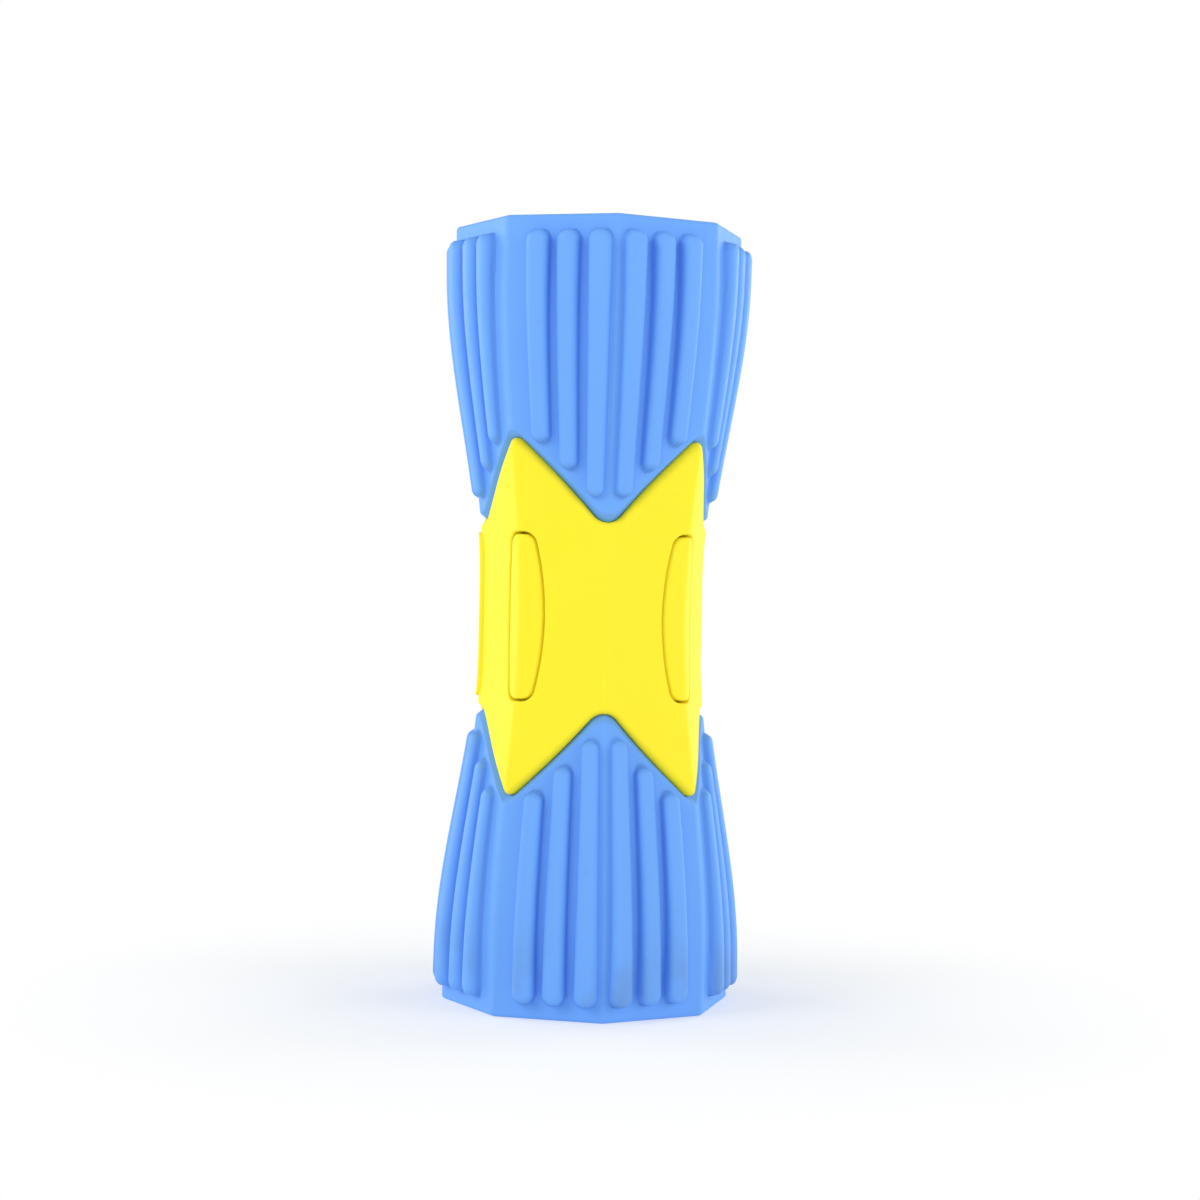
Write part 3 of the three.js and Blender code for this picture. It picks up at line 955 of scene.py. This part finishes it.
    def rib_tree(self, material: bpy.types.Material) -> GeometryTree:
        """Tree that raises three rounded ribs on every facet of the wall.

        Args:
            material: the shell's rubber.

        Returns:
            The tree, ready to run on the wall.
        """
        made = GeometryTree("Raise Ribs")
        sketch = made.sketch
        inner_height = made.size("Inner Height", self.rib_height[0] * MM)
        outer_height = made.size("Outer Height", self.rib_height[1] * MM)
        inner_half = made.size("Inner Half Width", self.rib_half[0] * MM)
        outer_half = made.size("Outer Half Width", self.rib_half[1] * MM)
        outer_end = made.size("Outer End", (HALF_LENGTH - self.rib_to_rim) * MM)
        roundness = made.size("Roundness", self.rib_roundness)
        fillet = made.size("Root Fillet", self.rib_fillet * MM)
        fraction, rise = sketch.attribute("fraction"), sketch.attribute("rise")
        width = sketch.attribute("facet_width")
        total: object = 0.0
        for number, place in enumerate(self.rib_places, 1):
            end_rise = float(ZIGZAG.rise(place)) + self.seam_gap + self.rib_to_band
            spot = made.size(f"Place {number}", place)
            inner_end = made.size(f"Inner End {number}", end_rise * MM)
            along = {0: rise, 1: inner_end, 2: outer_end}
            half = sketch.add("ShaderNodeMapRange", {**along, 3: inner_half, 4: outer_half}).outputs[0]
            height = sketch.add("ShaderNodeMapRange", {**along, 3: inner_height, 4: outer_height}).outputs[0]
            across = sketch.math("MULTIPLY", sketch.math("SUBTRACT", fraction, spot), width)
            below = sketch.math("SUBTRACT", sketch.math("ADD", inner_end, inner_half), rise)
            above = sketch.math("SUBTRACT", rise, sketch.math("SUBTRACT", outer_end, outer_half))
            beyond = sketch.math("MAXIMUM", sketch.math("MAXIMUM", below, above), 0.0)
            squares = sketch.math("MULTIPLY_ADD", beyond, beyond, sketch.math("MULTIPLY", across, across))
            away = sketch.math("DIVIDE", sketch.math("SQRT", squares), half)
            left = sketch.math("SUBTRACT", 1.0, sketch.math("POWER", away, roundness))
            left = sketch.math("MAXIMUM", left, 0.0)
            dome = sketch.math("POWER", left, sketch.math("DIVIDE", 1.0, roundness))
            outside = sketch.math("MAXIMUM", sketch.math("SUBTRACT", away, 1.0), 0.0)
            drop = sketch.math("MULTIPLY", sketch.math("MULTIPLY", outside, half), self.side_slope)
            raised = sketch.math("MULTIPLY_ADD", dome, height, sketch.math("MULTIPLY", drop, -1.0))
            total = sketch.math("MAXIMUM", total, sketch.math("SMOOTH_MAX", raised, 0.0, fillet))
        total = sketch.math("MULTIPLY", total, sketch.attribute("outside"))
        push = sketch.add("ShaderNodeVectorMath", operation="SCALE")
        sketch.feed(push.inputs[0], sketch.attribute("facet_normal", "FLOAT_VECTOR"))
        sketch.feed(push.inputs["Scale"], total)
        inputs = {"Geometry": made.entry.outputs[0], "Offset": push.outputs[0]}
        moved = sketch.add("GeometryNodeSetPosition", inputs)
        kept = sketch.add("GeometryNodeStoreNamedAttribute", {"Geometry": moved.outputs[0], "Name": "crest"})
        sketch.feed(kept.inputs["Value"], sketch.math("DIVIDE", total, inner_height))
        made.close(kept.outputs[0], material)
        return made

    def build(self, material: bpy.types.Material) -> bpy.types.Object:
        """Builds the shell, dresses it and puts it in place of its CAD node.

        Args:
            material: the look it gets.

        Returns:
            The shell.
        """
        piece = self.skin()
        self.rib_tree(material).bake(piece)
        for name in ("fraction", "rise", "facet_width", "outside", "facet_normal"):
            piece.data.attributes.remove(piece.data.attributes[name])
        smooth(piece, 62)
        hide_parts(self.node)
        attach(piece, Body.BARREL.value)
        return piece


# ---------------------------------------------------------------- waist band


def edge_depth(distance: np.ndarray, rounding: float) -> np.ndarray:
    """Depth of a quarter-round edge at a distance in from it."""
    left = np.maximum(rounding - distance, 0)
    return rounding - np.sqrt(np.maximum(rounding**2 - left**2, 0))


def nearest(points: np.ndarray, line: np.ndarray) -> np.ndarray:
    """Distance from each point to the nearest of a line's closely spaced points."""
    gaps = points[..., None, :] - line
    return np.sqrt((gaps**2).sum(axis=-1).min(axis=-1))


@dataclass
class WaistBand:
    """Yellow star-edged band: four windows for the pads, rounded edges, and a plain tablet."""

    name: str = "star_band"
    thick: float = BAND_THICK
    edge_round: float = 1.5
    window_margin: float = 0.55
    window_round: float = 0.45
    tablet_size: tuple = (7.4, 35.0)
    tablet_corner: float = 1.6
    tablet_shift: float = 2.8
    tablet_proud: float = 0.7
    tablet_root: float = 1.6
    tablet_ease: float = 0.45

    def fans(self) -> tuple:
        """Places of the grid's spokes.

        Returns:
            Parts of the window's quarter outline, and (across, rise) of the matching points on the
            sector's quarter boundary, which runs down the zigzag and then down the valley ridge.
        """
        tip = np.array([0, 0.2, 0.4, 0.6, 0.85, 1.1])
        corner, flank, side = 13, 11, 18
        window_length = 20.4  # about the length of a quarter of the window's outline
        shares = np.array([tip[-1] / window_length, 0.305, 0.587, 1])
        window = [tip / window_length]
        counts = (corner, flank, side)
        window += [np.linspace(a, b, n + 1)[1:] for a, b, n in zip(shares, shares[1:], counts)]
        spread = np.geomspace(tip[-1], 14.0, corner + 1)[1:]
        end = ZIGZAG.span
        steps = np.linspace(14.0, end - 0.8, flank - 3)[1:]
        last = np.concatenate([steps, end - np.array([0.6, 0.4, 0.2, 0])])
        fraction = 1 - np.concatenate([tip, spread, last]) / end
        rise = ZIGZAG.rise(fraction)
        zigzag = np.stack([(1 - fraction) * FORM.facet_width(rise), rise], axis=-1)
        close = rise[-1] - np.array([0.08, 0.2, 0.38, 0.6, 0.85, 1.15, 1.5, 2.0])
        down = np.concatenate([close, np.linspace(close[-1], 0, side - len(close) + 1)[1:]])
        valley = np.stack([FORM.facet_width(down), down], axis=-1)
        return np.concatenate(window), np.vstack([zigzag, valley])

    def zigzag_line(self) -> np.ndarray:
        """Closely spaced points of the zigzag across a sector and a little past its valleys.

        Returns:
            Across and rise of each point.
        """
        past = np.linspace(-1.3, 1.3, 1500)
        rise = ZIGZAG.rise(FORM.from_valley(past + 1))
        return np.stack([past * FORM.facet_width(rise), rise], axis=-1)

    def sector(self, ridge: int) -> tuple:
        """Points and faces of the quarter of the band round one peak ridge.

        Args:
            ridge: the peak ridge's number.

        Returns:
            The points in the waist's frame, and the faces.
        """
        parts, boundary = self.fans()
        window = mirrored_ring(LENS.quarter(self.window_margin, parts))
        border = mirrored_ring(boundary)
        length = np.linalg.norm(border - window, axis=1)
        near_window = np.array([0, 0.06, 0.16, 0.3, 0.45, 0.7])[:, None] / length
        near_edge = 1 - np.array([2.4, 1.9, 1.5, 1.2, 0.9, 0.65, 0.4, 0.2, 0.08, 0.02, 0])[:, None] / length
        between = np.linspace(0, 1, 8)[1:-1, None]
        middle = near_window[-1] + (near_edge[0] - near_window[-1]) * between
        share = np.vstack([near_window, middle, near_edge])
        flat = window + share[..., None] * (border - window)
        mirrored = np.stack([flat[..., 0], np.abs(flat[..., 1])], axis=-1)
        from_edge = nearest(mirrored, self.zigzag_line())
        outline = mirrored_ring(LENS.quarter(self.window_margin, np.linspace(0, 1, 500)))
        from_window = nearest(flat, outline)
        on_side = np.abs(np.abs(border[:, 0]) - FORM.facet_width(border[:, 1])) < 0.001
        from_edge[-1] = np.where(on_side, from_edge[-1], 0)
        from_window[0] = 0
        depth = np.maximum(edge_depth(from_edge, self.edge_round), edge_depth(from_window, self.window_round))
        outer = self.on_form(ridge, flat, depth, 0)
        halfway_row = 10
        inside = np.array([len(share) - 1, halfway_row, 0])
        inner = self.on_form(ridge, flat[inside], 0 * depth[inside] + self.thick, 1 - share[inside])
        grid = np.concatenate([outer, inner])
        rows, columns = grid.shape[:2]
        faces = np.array(grid_faces(rows, columns, True, True))
        row, column = np.divmod(np.arange(len(faces)), columns)
        shut = (row == len(share) - 1) & on_side[column] & on_side[(column + 1) % columns]
        return grid.reshape(-1, 3), faces[~shut]

    @staticmethod
    def on_form(ridge: int, flat: np.ndarray, depth: np.ndarray, upright: object) -> np.ndarray:
        """Lays flat points on the form.

        Args:
            ridge: the peak ridge they are measured from.
            flat: (across, rise) of each point along the surface.
            depth: depth under the surface.
            upright: 1 where a wall stands parallel to the ridge's radius, 0 where it points at the axis.

        Returns:
            x, y and rise of each point.
        """
        width = FORM.facet_width(flat[..., 1])
        narrower = FORM.facet_width(flat[..., 1], depth)
        place = flat[..., 0] * ((1 - upright) / width + upright / narrower)
        return FORM.swelled(FORM.place(ridge + place, flat[..., 1], depth))

    def tablet(self) -> bpy.types.Object:
        """Builds the plain low tablet, which starts on the -X ridge and lies behind it.

        Returns:
            The tablet as a closed piece of its own.
        """
        outline, ease = self.tablet_outline, self.tablet_ease
        rings = [(outline(0) * np.array([0.0, 0.8]), self.tablet_root), (outline(0), self.tablet_root)]
        for turn in np.linspace(0, QUARTER_TURN, 6):
            depth = ease * (1 - math.sin(turn)) - self.tablet_proud
            rings.append((outline(ease * (1 - math.cos(turn))), depth))
        for share in (0.35, 0.65, 0.82, 0.92, 1.0):
            rings.append((outline(ease) * np.array([1 - share, 1 - 0.2 * share]), -self.tablet_proud))
        ridge, shift = FORM.sides // 2, [self.tablet_shift, 0]
        grid = np.stack([
            self.on_form(ridge, ring - shift, np.full(len(ring), float(depth)), 1.0) for ring, depth in rings
        ])
        faces = grid_faces(len(grid), grid.shape[1], False, True)
        return mesh_object("tablet", placed(grid).reshape(-1, 3), faces)

    def tablet_outline(self, inset: float) -> np.ndarray:
        """Rounded oblong outline of the tablet, drawn in by an inset, with its corners in matching pairs.

        Args:
            inset: distance inside the full outline.

        Returns:
            Across and rise of each point.
        """
        half = np.array(self.tablet_size) / 2 - inset
        corner = self.tablet_corner - inset
        turns = np.linspace(QUARTER_TURN, 0, 7)
        arc = half - corner + corner * np.stack([np.cos(turns), np.sin(turns)], axis=-1)
        top = np.linspace([0, half[1]], [half[0] - corner, half[1]], 5)[:-1]
        side = np.linspace([half[0], half[1] - corner], [half[0], 0], 12)[1:]
        return mirrored_ring(np.vstack([top, arc, side]))

    def build(self, material: bpy.types.Material) -> bpy.types.Object:
        """Builds the band, dresses it and puts it in place of its CAD node.

        Args:
            material: the look it gets.

        Returns:
            The band.
        """
        points, faces, count = [], [], 0
        for ridge in range(1, FORM.sides, 2):
            more, quads = self.sector(ridge)
            points.append(more)
            faces += (quads + count).tolist()
            count += len(more)
        piece = mesh_object(self.name, placed(np.vstack(points)), faces)
        weld_on(piece, self.tablet())
        smooth(piece, 50)
        dress(piece, material)
        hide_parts("waist_band")
        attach(piece, Body.BARREL.value)
        return piece


def weld_on(piece: bpy.types.Object, addition: bpy.types.Object) -> None:
    """Joins an overlapping solid to a piece as one closed surface, and removes the separate one.

    Args:
        piece: the piece that stays.
        addition: the solid that is joined to it.
    """
    modifier = piece.modifiers.new("weld on", "BOOLEAN")
    modifier.operation = "UNION"
    modifier.solver = "EXACT"
    modifier.object = addition
    bake_modifier(piece)
    bpy.data.objects.remove(addition)


# ---------------------------------------------------------------- press pads


@dataclass
class PressPad:
    """Yellow lens-shaped pad over a peak ridge: crowned face, rounded edge, and a flange behind the band."""

    node: str
    ridge: int
    crown: float = 0.25
    edge_round: float = 0.55
    wall_depth: float = 3.3
    flange_wider: float = 1.8
    flange_depth: float = 4.8

    def rings(self) -> list:
        """Rings from the face's middle line, round the flange, to the back's middle line.

        Returns:
            (across, rise) points and depth of each ring.
        """
        parts = np.concatenate([np.linspace(0, 0.26, 16), np.linspace(0.26, 1, 26)[1:]])
        outline = {m: mirrored_ring(LENS.quarter(m, parts)) for m in (0, self.flange_wider)}
        inset = 0.8
        inner = mirrored_ring(LENS.quarter(-inset, parts))
        narrowing = np.array([1.0, 0.28])
        rings = []
        for t in (1, 0.94, 0.87, 0.8, 0.65, 0.45, 0.22):
            across = inset + t * (LENS.waist - inset)
            rings.append((inner * (1 - t * narrowing), -self.rise_of_crown(across)))
        for margin in (0.8, 0.6, 0.45, 0.32, 0.2, 0.1, 0.03, 0):
            ring = mirrored_ring(LENS.quarter(-margin, parts))
            drop = float(edge_depth(np.array(margin), self.edge_round))
            rings.append((ring, drop - self.rise_of_crown(margin)))
        wide = outline[self.flange_wider]
        rings += [(outline[0], 1.5), (outline[0], self.wall_depth), (wide, self.wall_depth)]
        rings += [(wide, self.flange_depth)]
        for t in (0.5, 1):
            rings.append((wide * (1 - t * narrowing), self.flange_depth))
        return rings

    def rise_of_crown(self, across: float) -> float:
        """How far the face stands proud at a distance in from its edge."""
        part = min(across / LENS.waist, 1)
        return self.crown * (1 - (1 - part) ** 2)

    def build(self, material: bpy.types.Material) -> bpy.types.Object:
        """Builds the pad, dresses it and puts it in place of its CAD node.

        Args:
            material: the look it gets.

        Returns:
            The pad.
        """
        grid = np.stack([
            WaistBand.on_form(self.ridge, ring, np.full(len(ring), depth), 1.0)
            for ring, depth in self.rings()
        ])
        faces = grid_faces(len(grid), grid.shape[1], False, True)
        piece = mesh_object("lens_" + self.node, placed(grid).reshape(-1, 3), faces)
        dress(piece, material)
        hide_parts(self.node)
        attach(piece, self.node)
        return piece


# ---------------------------------------------------------------- mouths and squeaker


@dataclass
class EndPlug:
    """Yellow pull-out plug: two sealing beads round its skirt and a T-shaped grip across a finger well."""

    radius: float = 25.2
    bead: float = 25.7
    bottom: float = 70.3
    top: float = 82.0
    well: float = 17.0
    skirt: float = 3.0
    web: float = 4.6
    head: float = 7.4
    head_bottom: float = 78.6
    head_top: float = 81.0

    def body(self) -> bpy.types.Object:
        """Builds the turned body with its beads and its well.

        Returns:
            The body as a piece.
        """
        floor = self.bottom + self.skirt
        corners = [(0, self.bottom, 0), (self.radius, self.bottom, 1.0)]
        for bead in (self.bottom + 3.6, self.bottom + 7.4):
            corners += [(self.radius, bead - 1, 0.3), (self.bead, bead, 0.4), (self.radius, bead + 1, 0.3)]
        corners += [(self.radius, self.top, 1.1), (self.well, self.top, 1.1)]
        corners += [(self.well, floor, 1.4), (0, floor, 0)]
        return turned_piece("pull_plug", rounded_profile(corners), End.UPPER)

    def grip(self) -> bpy.types.Object:
        """Builds the T-shaped bar along Y; its ends lie inside the well's wall.

        Returns:
            The bar as a piece.
        """
        web, head = self.web / 2, self.head / 2
        low = self.bottom + 1
        corners = [(-web, low, 0), (web, low, 0), (web, self.head_bottom, 0.6), (head, self.head_bottom, 0.6)]
        corners += [(head, self.head_top, 0.9), (-head, self.head_top, 0.9)]
        corners += [(-head, self.head_bottom, 0.6), (-web, self.head_bottom, 0.6)]
        outline = rounded_profile(corners)
        reach = self.well + 0.6
        across, up = outline[:, 0], outline[:, 1]
        rows = [np.stack([across, 0 * across + y, up], axis=-1) for y in (-reach, reach)]
        count = len(outline)
        faces = grid_faces(2, count, False, True) + [list(range(count)), list(range(count, 2 * count))]
        return mesh_object("grip", placed(np.vstack(rows)), faces)

    def build(self, material: bpy.types.Material) -> bpy.types.Object:
        """Builds the plug, dresses it and puts it in place of its CAD node.

        Args:
            material: the look it gets.

        Returns:
            The plug.
        """
        piece = self.body()
        weld_on(piece, self.grip())
        smooth(piece, 40)
        dress(piece, material)
        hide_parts("end_plug")
        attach(piece, Body.PLUG.value)
        return piece


@dataclass
class LowerMouth:
    """Blue disc in the lower mouth, and the squeaker and sleeve that the barrel hides."""

    disc: tuple = (
        (11.6, 70.3, 0.3), (25.7, 70.3, 0.6), (25.7, 81.3, 1.1),
        (15.4, 81.3, 0.5), (15.4, 79.0, 0.3), (11.6, 79.0, 0.3),
    )
    cup: tuple = (
        (3.3, 66.0, 0.2), (11.3, 66.0, 0.6), (11.3, 79.3, 0.3), (15.1, 79.3, 0.3), (15.1, 80.6, 0.5),
        (10.1, 80.6, 0.3), (10.1, 67.2, 0.5), (3.3, 67.2, 0.2),
    )
    sleeve: tuple = ((9.4, -15, 0.3), (11.2, -15, 0.3), (11.2, 15, 0.3), (9.4, 15, 0.3))
    grille_radius: float = 9.8
    grille_bottom: float = 78.9
    grille_top: float = 80.2
    hole: float = 1.1
    pitch: float = 4.4
    holes: int = 6

    def turned(self, name: str, corners: tuple, node: str, finish: bpy.types.Material) -> object:
        """Builds one turned piece of the lower mouth and puts it in place of its CAD node.

        Args:
            name: the piece's name.
            corners: radius, rise and rounding of each corner of its section.
            node: the CAD node it stands for.
            finish: the look it gets.

        Returns:
            The piece.
        """
        piece = turned_piece(name, rounded_profile(list(corners)), End.LOWER)
        dress(piece, finish)
        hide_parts(node)
        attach(piece, Body.BARREL.value)
        return piece

    def grille(self, finish: bpy.types.Material) -> bpy.types.Object:
        """Builds the round grille, pierced by one middle hole and a ring of others.

        Args:
            finish: the look it gets.

        Returns:
            The grille.
        """
        made = GeometryTree("Pierced Grille")
        sketch = made.sketch
        radius = made.size("Radius", self.grille_radius * MM)
        hole = made.size("Hole Radius", self.hole * MM)
        pitch = made.size("Ring Radius", self.pitch * MM)
        count = made.named("Hole Count", "NodeSocketInt", self.holes)
        thickness = made.size("Thickness", (self.grille_top - self.grille_bottom) * MM)
        rim = sketch.add("GeometryNodeCurvePrimitiveCircle", {"Resolution": 72, "Radius": radius})
        mouth = sketch.add("GeometryNodeCurvePrimitiveCircle", {"Resolution": 24, "Radius": hole})
        ring = sketch.add("GeometryNodeMeshCircle", {"Vertices": count, "Radius": pitch})
        middle = sketch.add("GeometryNodeMeshLine", {"Count": 1})
        spots = self.joined(sketch, ring.outputs[0], middle.outputs[0])
        copies = sketch.add("GeometryNodeInstanceOnPoints", {"Points": spots, "Instance": mouth.outputs[0]})
        mouths = sketch.add("GeometryNodeRealizeInstances", {0: copies.outputs[0]}).outputs[0]
        outline = self.joined(sketch, rim.outputs[0], mouths)
        plate = sketch.add("GeometryNodeFillCurve", {"Curve": outline}).outputs[0]
        inputs = {"Mesh": plate, "Offset Scale": thickness, "Individual": False}
        block = sketch.add("GeometryNodeExtrudeMesh", inputs)
        back = sketch.add("GeometryNodeFlipFaces", {"Mesh": plate}).outputs[0]
        whole = self.joined(sketch, block.outputs[0], back)
        closed = sketch.add("GeometryNodeMergeByDistance", {"Geometry": whole, "Distance": 0.005 * MM})
        made.close(closed.outputs[0], finish)
        piece = bpy.data.objects.new("squeaker_grille", bpy.data.meshes.new("squeaker_grille"))
        bpy.context.scene.collection.objects.link(piece)
        made.bake(piece)
        turn_over = Matrix.Rotation(math.pi, 4, "X")
        piece.data.transform(Matrix.Translation((0, 0, (HALF_LENGTH - self.grille_bottom) * MM)) @ turn_over)
        edge = piece.modifiers.new("ease edges", "BEVEL")
        edge.width = 0.18 * MM
        edge.segments = 2
        edge.limit_method = "ANGLE"
        edge.angle_limit = math.radians(60)
        bake_modifier(piece)
        smooth(piece, 40)
        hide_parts("squeaker_cover")
        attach(piece, Body.BARREL.value)
        return piece

    @staticmethod
    def joined(sketch: Sketch, first: object, second: object) -> bpy.types.NodeSocket:
        """Joins two geometries in a tree.

        Args:
            sketch: the sketch of the tree.
            first: a geometry.
            second: a geometry.

        Returns:
            The joined geometry.
        """
        node = sketch.add("GeometryNodeJoinGeometry")
        for part in (second, first):
            sketch.tree.links.new(part, node.inputs[0])
        return node.outputs[0]

    def build(self, rubber: bpy.types.Material, plastic: bpy.types.Material) -> list:
        """Builds the disc, squeaker cup, grille and hidden sleeve, and finishes the kept nodes.

        Args:
            rubber: the disc's look.
            plastic: the squeaker's look.

        Returns:
            The pieces that were built.
        """
        sleeve_finish = SLEEVE_PLASTIC.material()
        pieces = [
            self.turned("mouth_disc", self.disc, "end_disc", rubber),
            self.turned("squeaker_body", self.cup, "squeaker_cup", plastic),
            self.turned("neck_sleeve", self.sleeve, "joining_sleeve", sleeve_finish),
            self.grille(plastic),
        ]
        for node, finish in (("reed_carrier", plastic), ("squeaker_reed", REED_FILM.material())):
            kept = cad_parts[node]
            kept.data.materials.clear()
            kept.data.materials.append(finish)
        return pieces


# ---------------------------------------------------------------- studio


@dataclass
class Softbox:
    """One soft lamp that faces the barrel's middle."""

    name: str
    azimuth: float
    elevation: float
    distance: float
    size: float
    power: float

    def build(self, target: Vector) -> None:
        """Adds the lamp.

        Args:
            target: the point that the lamp faces.
        """
        lamp = bpy.data.lights.new(self.name, "AREA")
        lamp.shape = "DISK"
        lamp.size = self.size
        lamp.energy = self.power
        holder = bpy.data.objects.new(self.name, lamp)
        back = towards(self.azimuth, self.elevation)
        holder.location = target + back * self.distance
        holder.rotation_euler = back.to_track_quat("Z", "Y").to_euler()
        bpy.context.scene.collection.objects.link(holder)


def towards(azimuth: float, elevation: float) -> Vector:
    """Direction from the barrel to a viewer at an azimuth and an elevation, in degrees."""
    a, e = math.radians(azimuth), math.radians(elevation)
    return Vector((math.sin(a) * math.cos(e), -math.cos(a) * math.cos(e), math.sin(e)))


@dataclass
class Studio:
    """Pale floor, white surroundings, soft lamps and the camera."""

    camera_azimuth: float = -7.0
    camera_distance: float = 0.5355
    camera_height: float = 0.0935
    pitch_down: float = 0.808
    aim_right: float = 0.168
    roll: float = 1.156
    lens: float = 74.58
    surround: float = 0.24
    floor_radius: float = 7.0
    lamps: list = field(default_factory=lambda: [
        Softbox("key", -64, 28, 0.9, 0.6, 3.5),
        Softbox("fill", 57, 20, 1.0, 0.8, 4.3),
        Softbox("front", -10, 14, 1.2, 0.8, 2.3),
        Softbox("top", 0, 86, 1.1, 0.9, 1.8),
        Softbox("rear left", -128, 15, 1.2, 0.8, 5.5),
        Softbox("rear right", 122, 15, 1.2, 0.8, 6.0),
    ])

    def camera(self) -> None:
        """Adds the camera and makes it the scene's."""
        lens = bpy.data.cameras.new("camera")
        lens.sensor_width = 36
        lens.lens = self.lens
        lens.clip_start = 0.01
        holder = bpy.data.objects.new("camera", lens)
        back = towards(self.camera_azimuth, 0) * self.camera_distance
        holder.location = (back.x, back.y, self.camera_height)
        heading = math.radians(self.camera_azimuth - self.aim_right)
        pitch = math.radians(90 - self.pitch_down)
        turn = Euler((pitch, 0, heading)).to_matrix() @ Matrix.Rotation(math.radians(self.roll), 3, "Z")
        holder.rotation_euler = turn.to_euler()
        bpy.context.scene.collection.objects.link(holder)
        bpy.context.scene.camera = holder

    def surroundings(self) -> None:
        """Makes the air white to look at and a little dimmer as a light."""
        world = bpy.data.worlds.new("studio")
        world.use_nodes = True
        world.node_tree.nodes.clear()
        sketch = Sketch(world.node_tree)
        seen = sketch.add("ShaderNodeLightPath").outputs["Is Camera Ray"]
        strength = sketch.math("MULTIPLY_ADD", seen, 1.0 - self.surround, self.surround)
        air = sketch.add("ShaderNodeBackground", {"Color": (1, 1, 1, 1), "Strength": strength})
        sketch.add("ShaderNodeOutputWorld", {"Surface": air.outputs[0]})
        bpy.context.scene.world = world
        bpy.context.scene.view_settings.view_transform = "Standard"

    def floor_finish(self) -> bpy.types.Material:
        """Pale sheet that glows white far from the barrel and so turns into the white surroundings; near the
        barrel the glow is weaker, a painted darker pool on top of the real shadows.

        Returns:
            The material.
        """
        made, sketch = new_material("pale_floor")
        place = sketch.add("ShaderNodeTexCoord").outputs["Object"]
        away = sketch.add("ShaderNodeVectorMath", {0: place}, operation="LENGTH").outputs["Value"]
        # painted light: share of white glow, 0.45 next to the barrel and 1 further out, so the floor is
        # painted darker near the barrel
        far = sketch.ramp(away, 0.033, 0.14, 0.45, 1.0)
        sheet = sketch.add("ShaderNodeBsdfDiffuse", {"Color": (0.88, 0.93, 0.99, 1)})
        glow = sketch.add("ShaderNodeEmission", {"Color": (1, 1, 1, 1), "Strength": 1.0})
        blend = sketch.add("ShaderNodeMixShader", {0: far, 1: sheet.outputs[0], 2: glow.outputs[0]})
        sketch.add("ShaderNodeOutputMaterial", {"Surface": blend.outputs[0]})
        return made

    def floor(self) -> None:
        """Adds the floor under the barrel."""
        angles = np.linspace(0, 2 * math.pi, 96, endpoint=False)
        rim = np.stack([np.cos(angles), np.sin(angles), 0 * angles], axis=-1) * self.floor_radius
        piece = mesh_object("floor", rim, [list(range(len(rim)))])
        piece.data.materials.append(self.floor_finish())
        piece.location.z = -0.00005

    def build(self) -> None:
        """Builds the whole studio."""
        self.surroundings()
        self.floor()
        self.camera()
        target = Vector((0, 0, HALF_LENGTH * MM))
        for lamp in self.lamps:
            lamp.build(target)


# ---------------------------------------------------------------- the whole barrel


PAD_NODES = ("pad_back_right", "pad_back_left", "pad_front_left", "pad_front_right")


def main() -> None:
    """Builds the studio and every piece of the barrel in order."""
    logging.basicConfig(level=logging.INFO, format="%(name)s: %(message)s")
    Studio().build()
    blue, yellow = BLUE_RUBBER.material(), YELLOW_RUBBER.material()
    plastic = SQUEAKER_PLASTIC.material()
    pieces = [
        RibbedShell(End.UPPER, "ribbed_shell_upper", "upper_shell").build(blue),
        RibbedShell(End.LOWER, "ribbed_shell_lower", "lower_shell").build(blue),
        WaistBand().build(yellow),
    ]
    for number, node in enumerate(PAD_NODES):
        pieces.append(PressPad(node, 2 * number + 1).build(yellow))
    pieces.append(EndPlug().build(yellow))
    pieces += LowerMouth().build(BLUE_DISC_RUBBER.material(), plastic)
    for piece in pieces:
        piece.data.calc_loop_triangles()
        log.info("%s: %d triangles", piece.name, len(piece.data.loop_triangles))


if __name__ == "__main__":
    main()
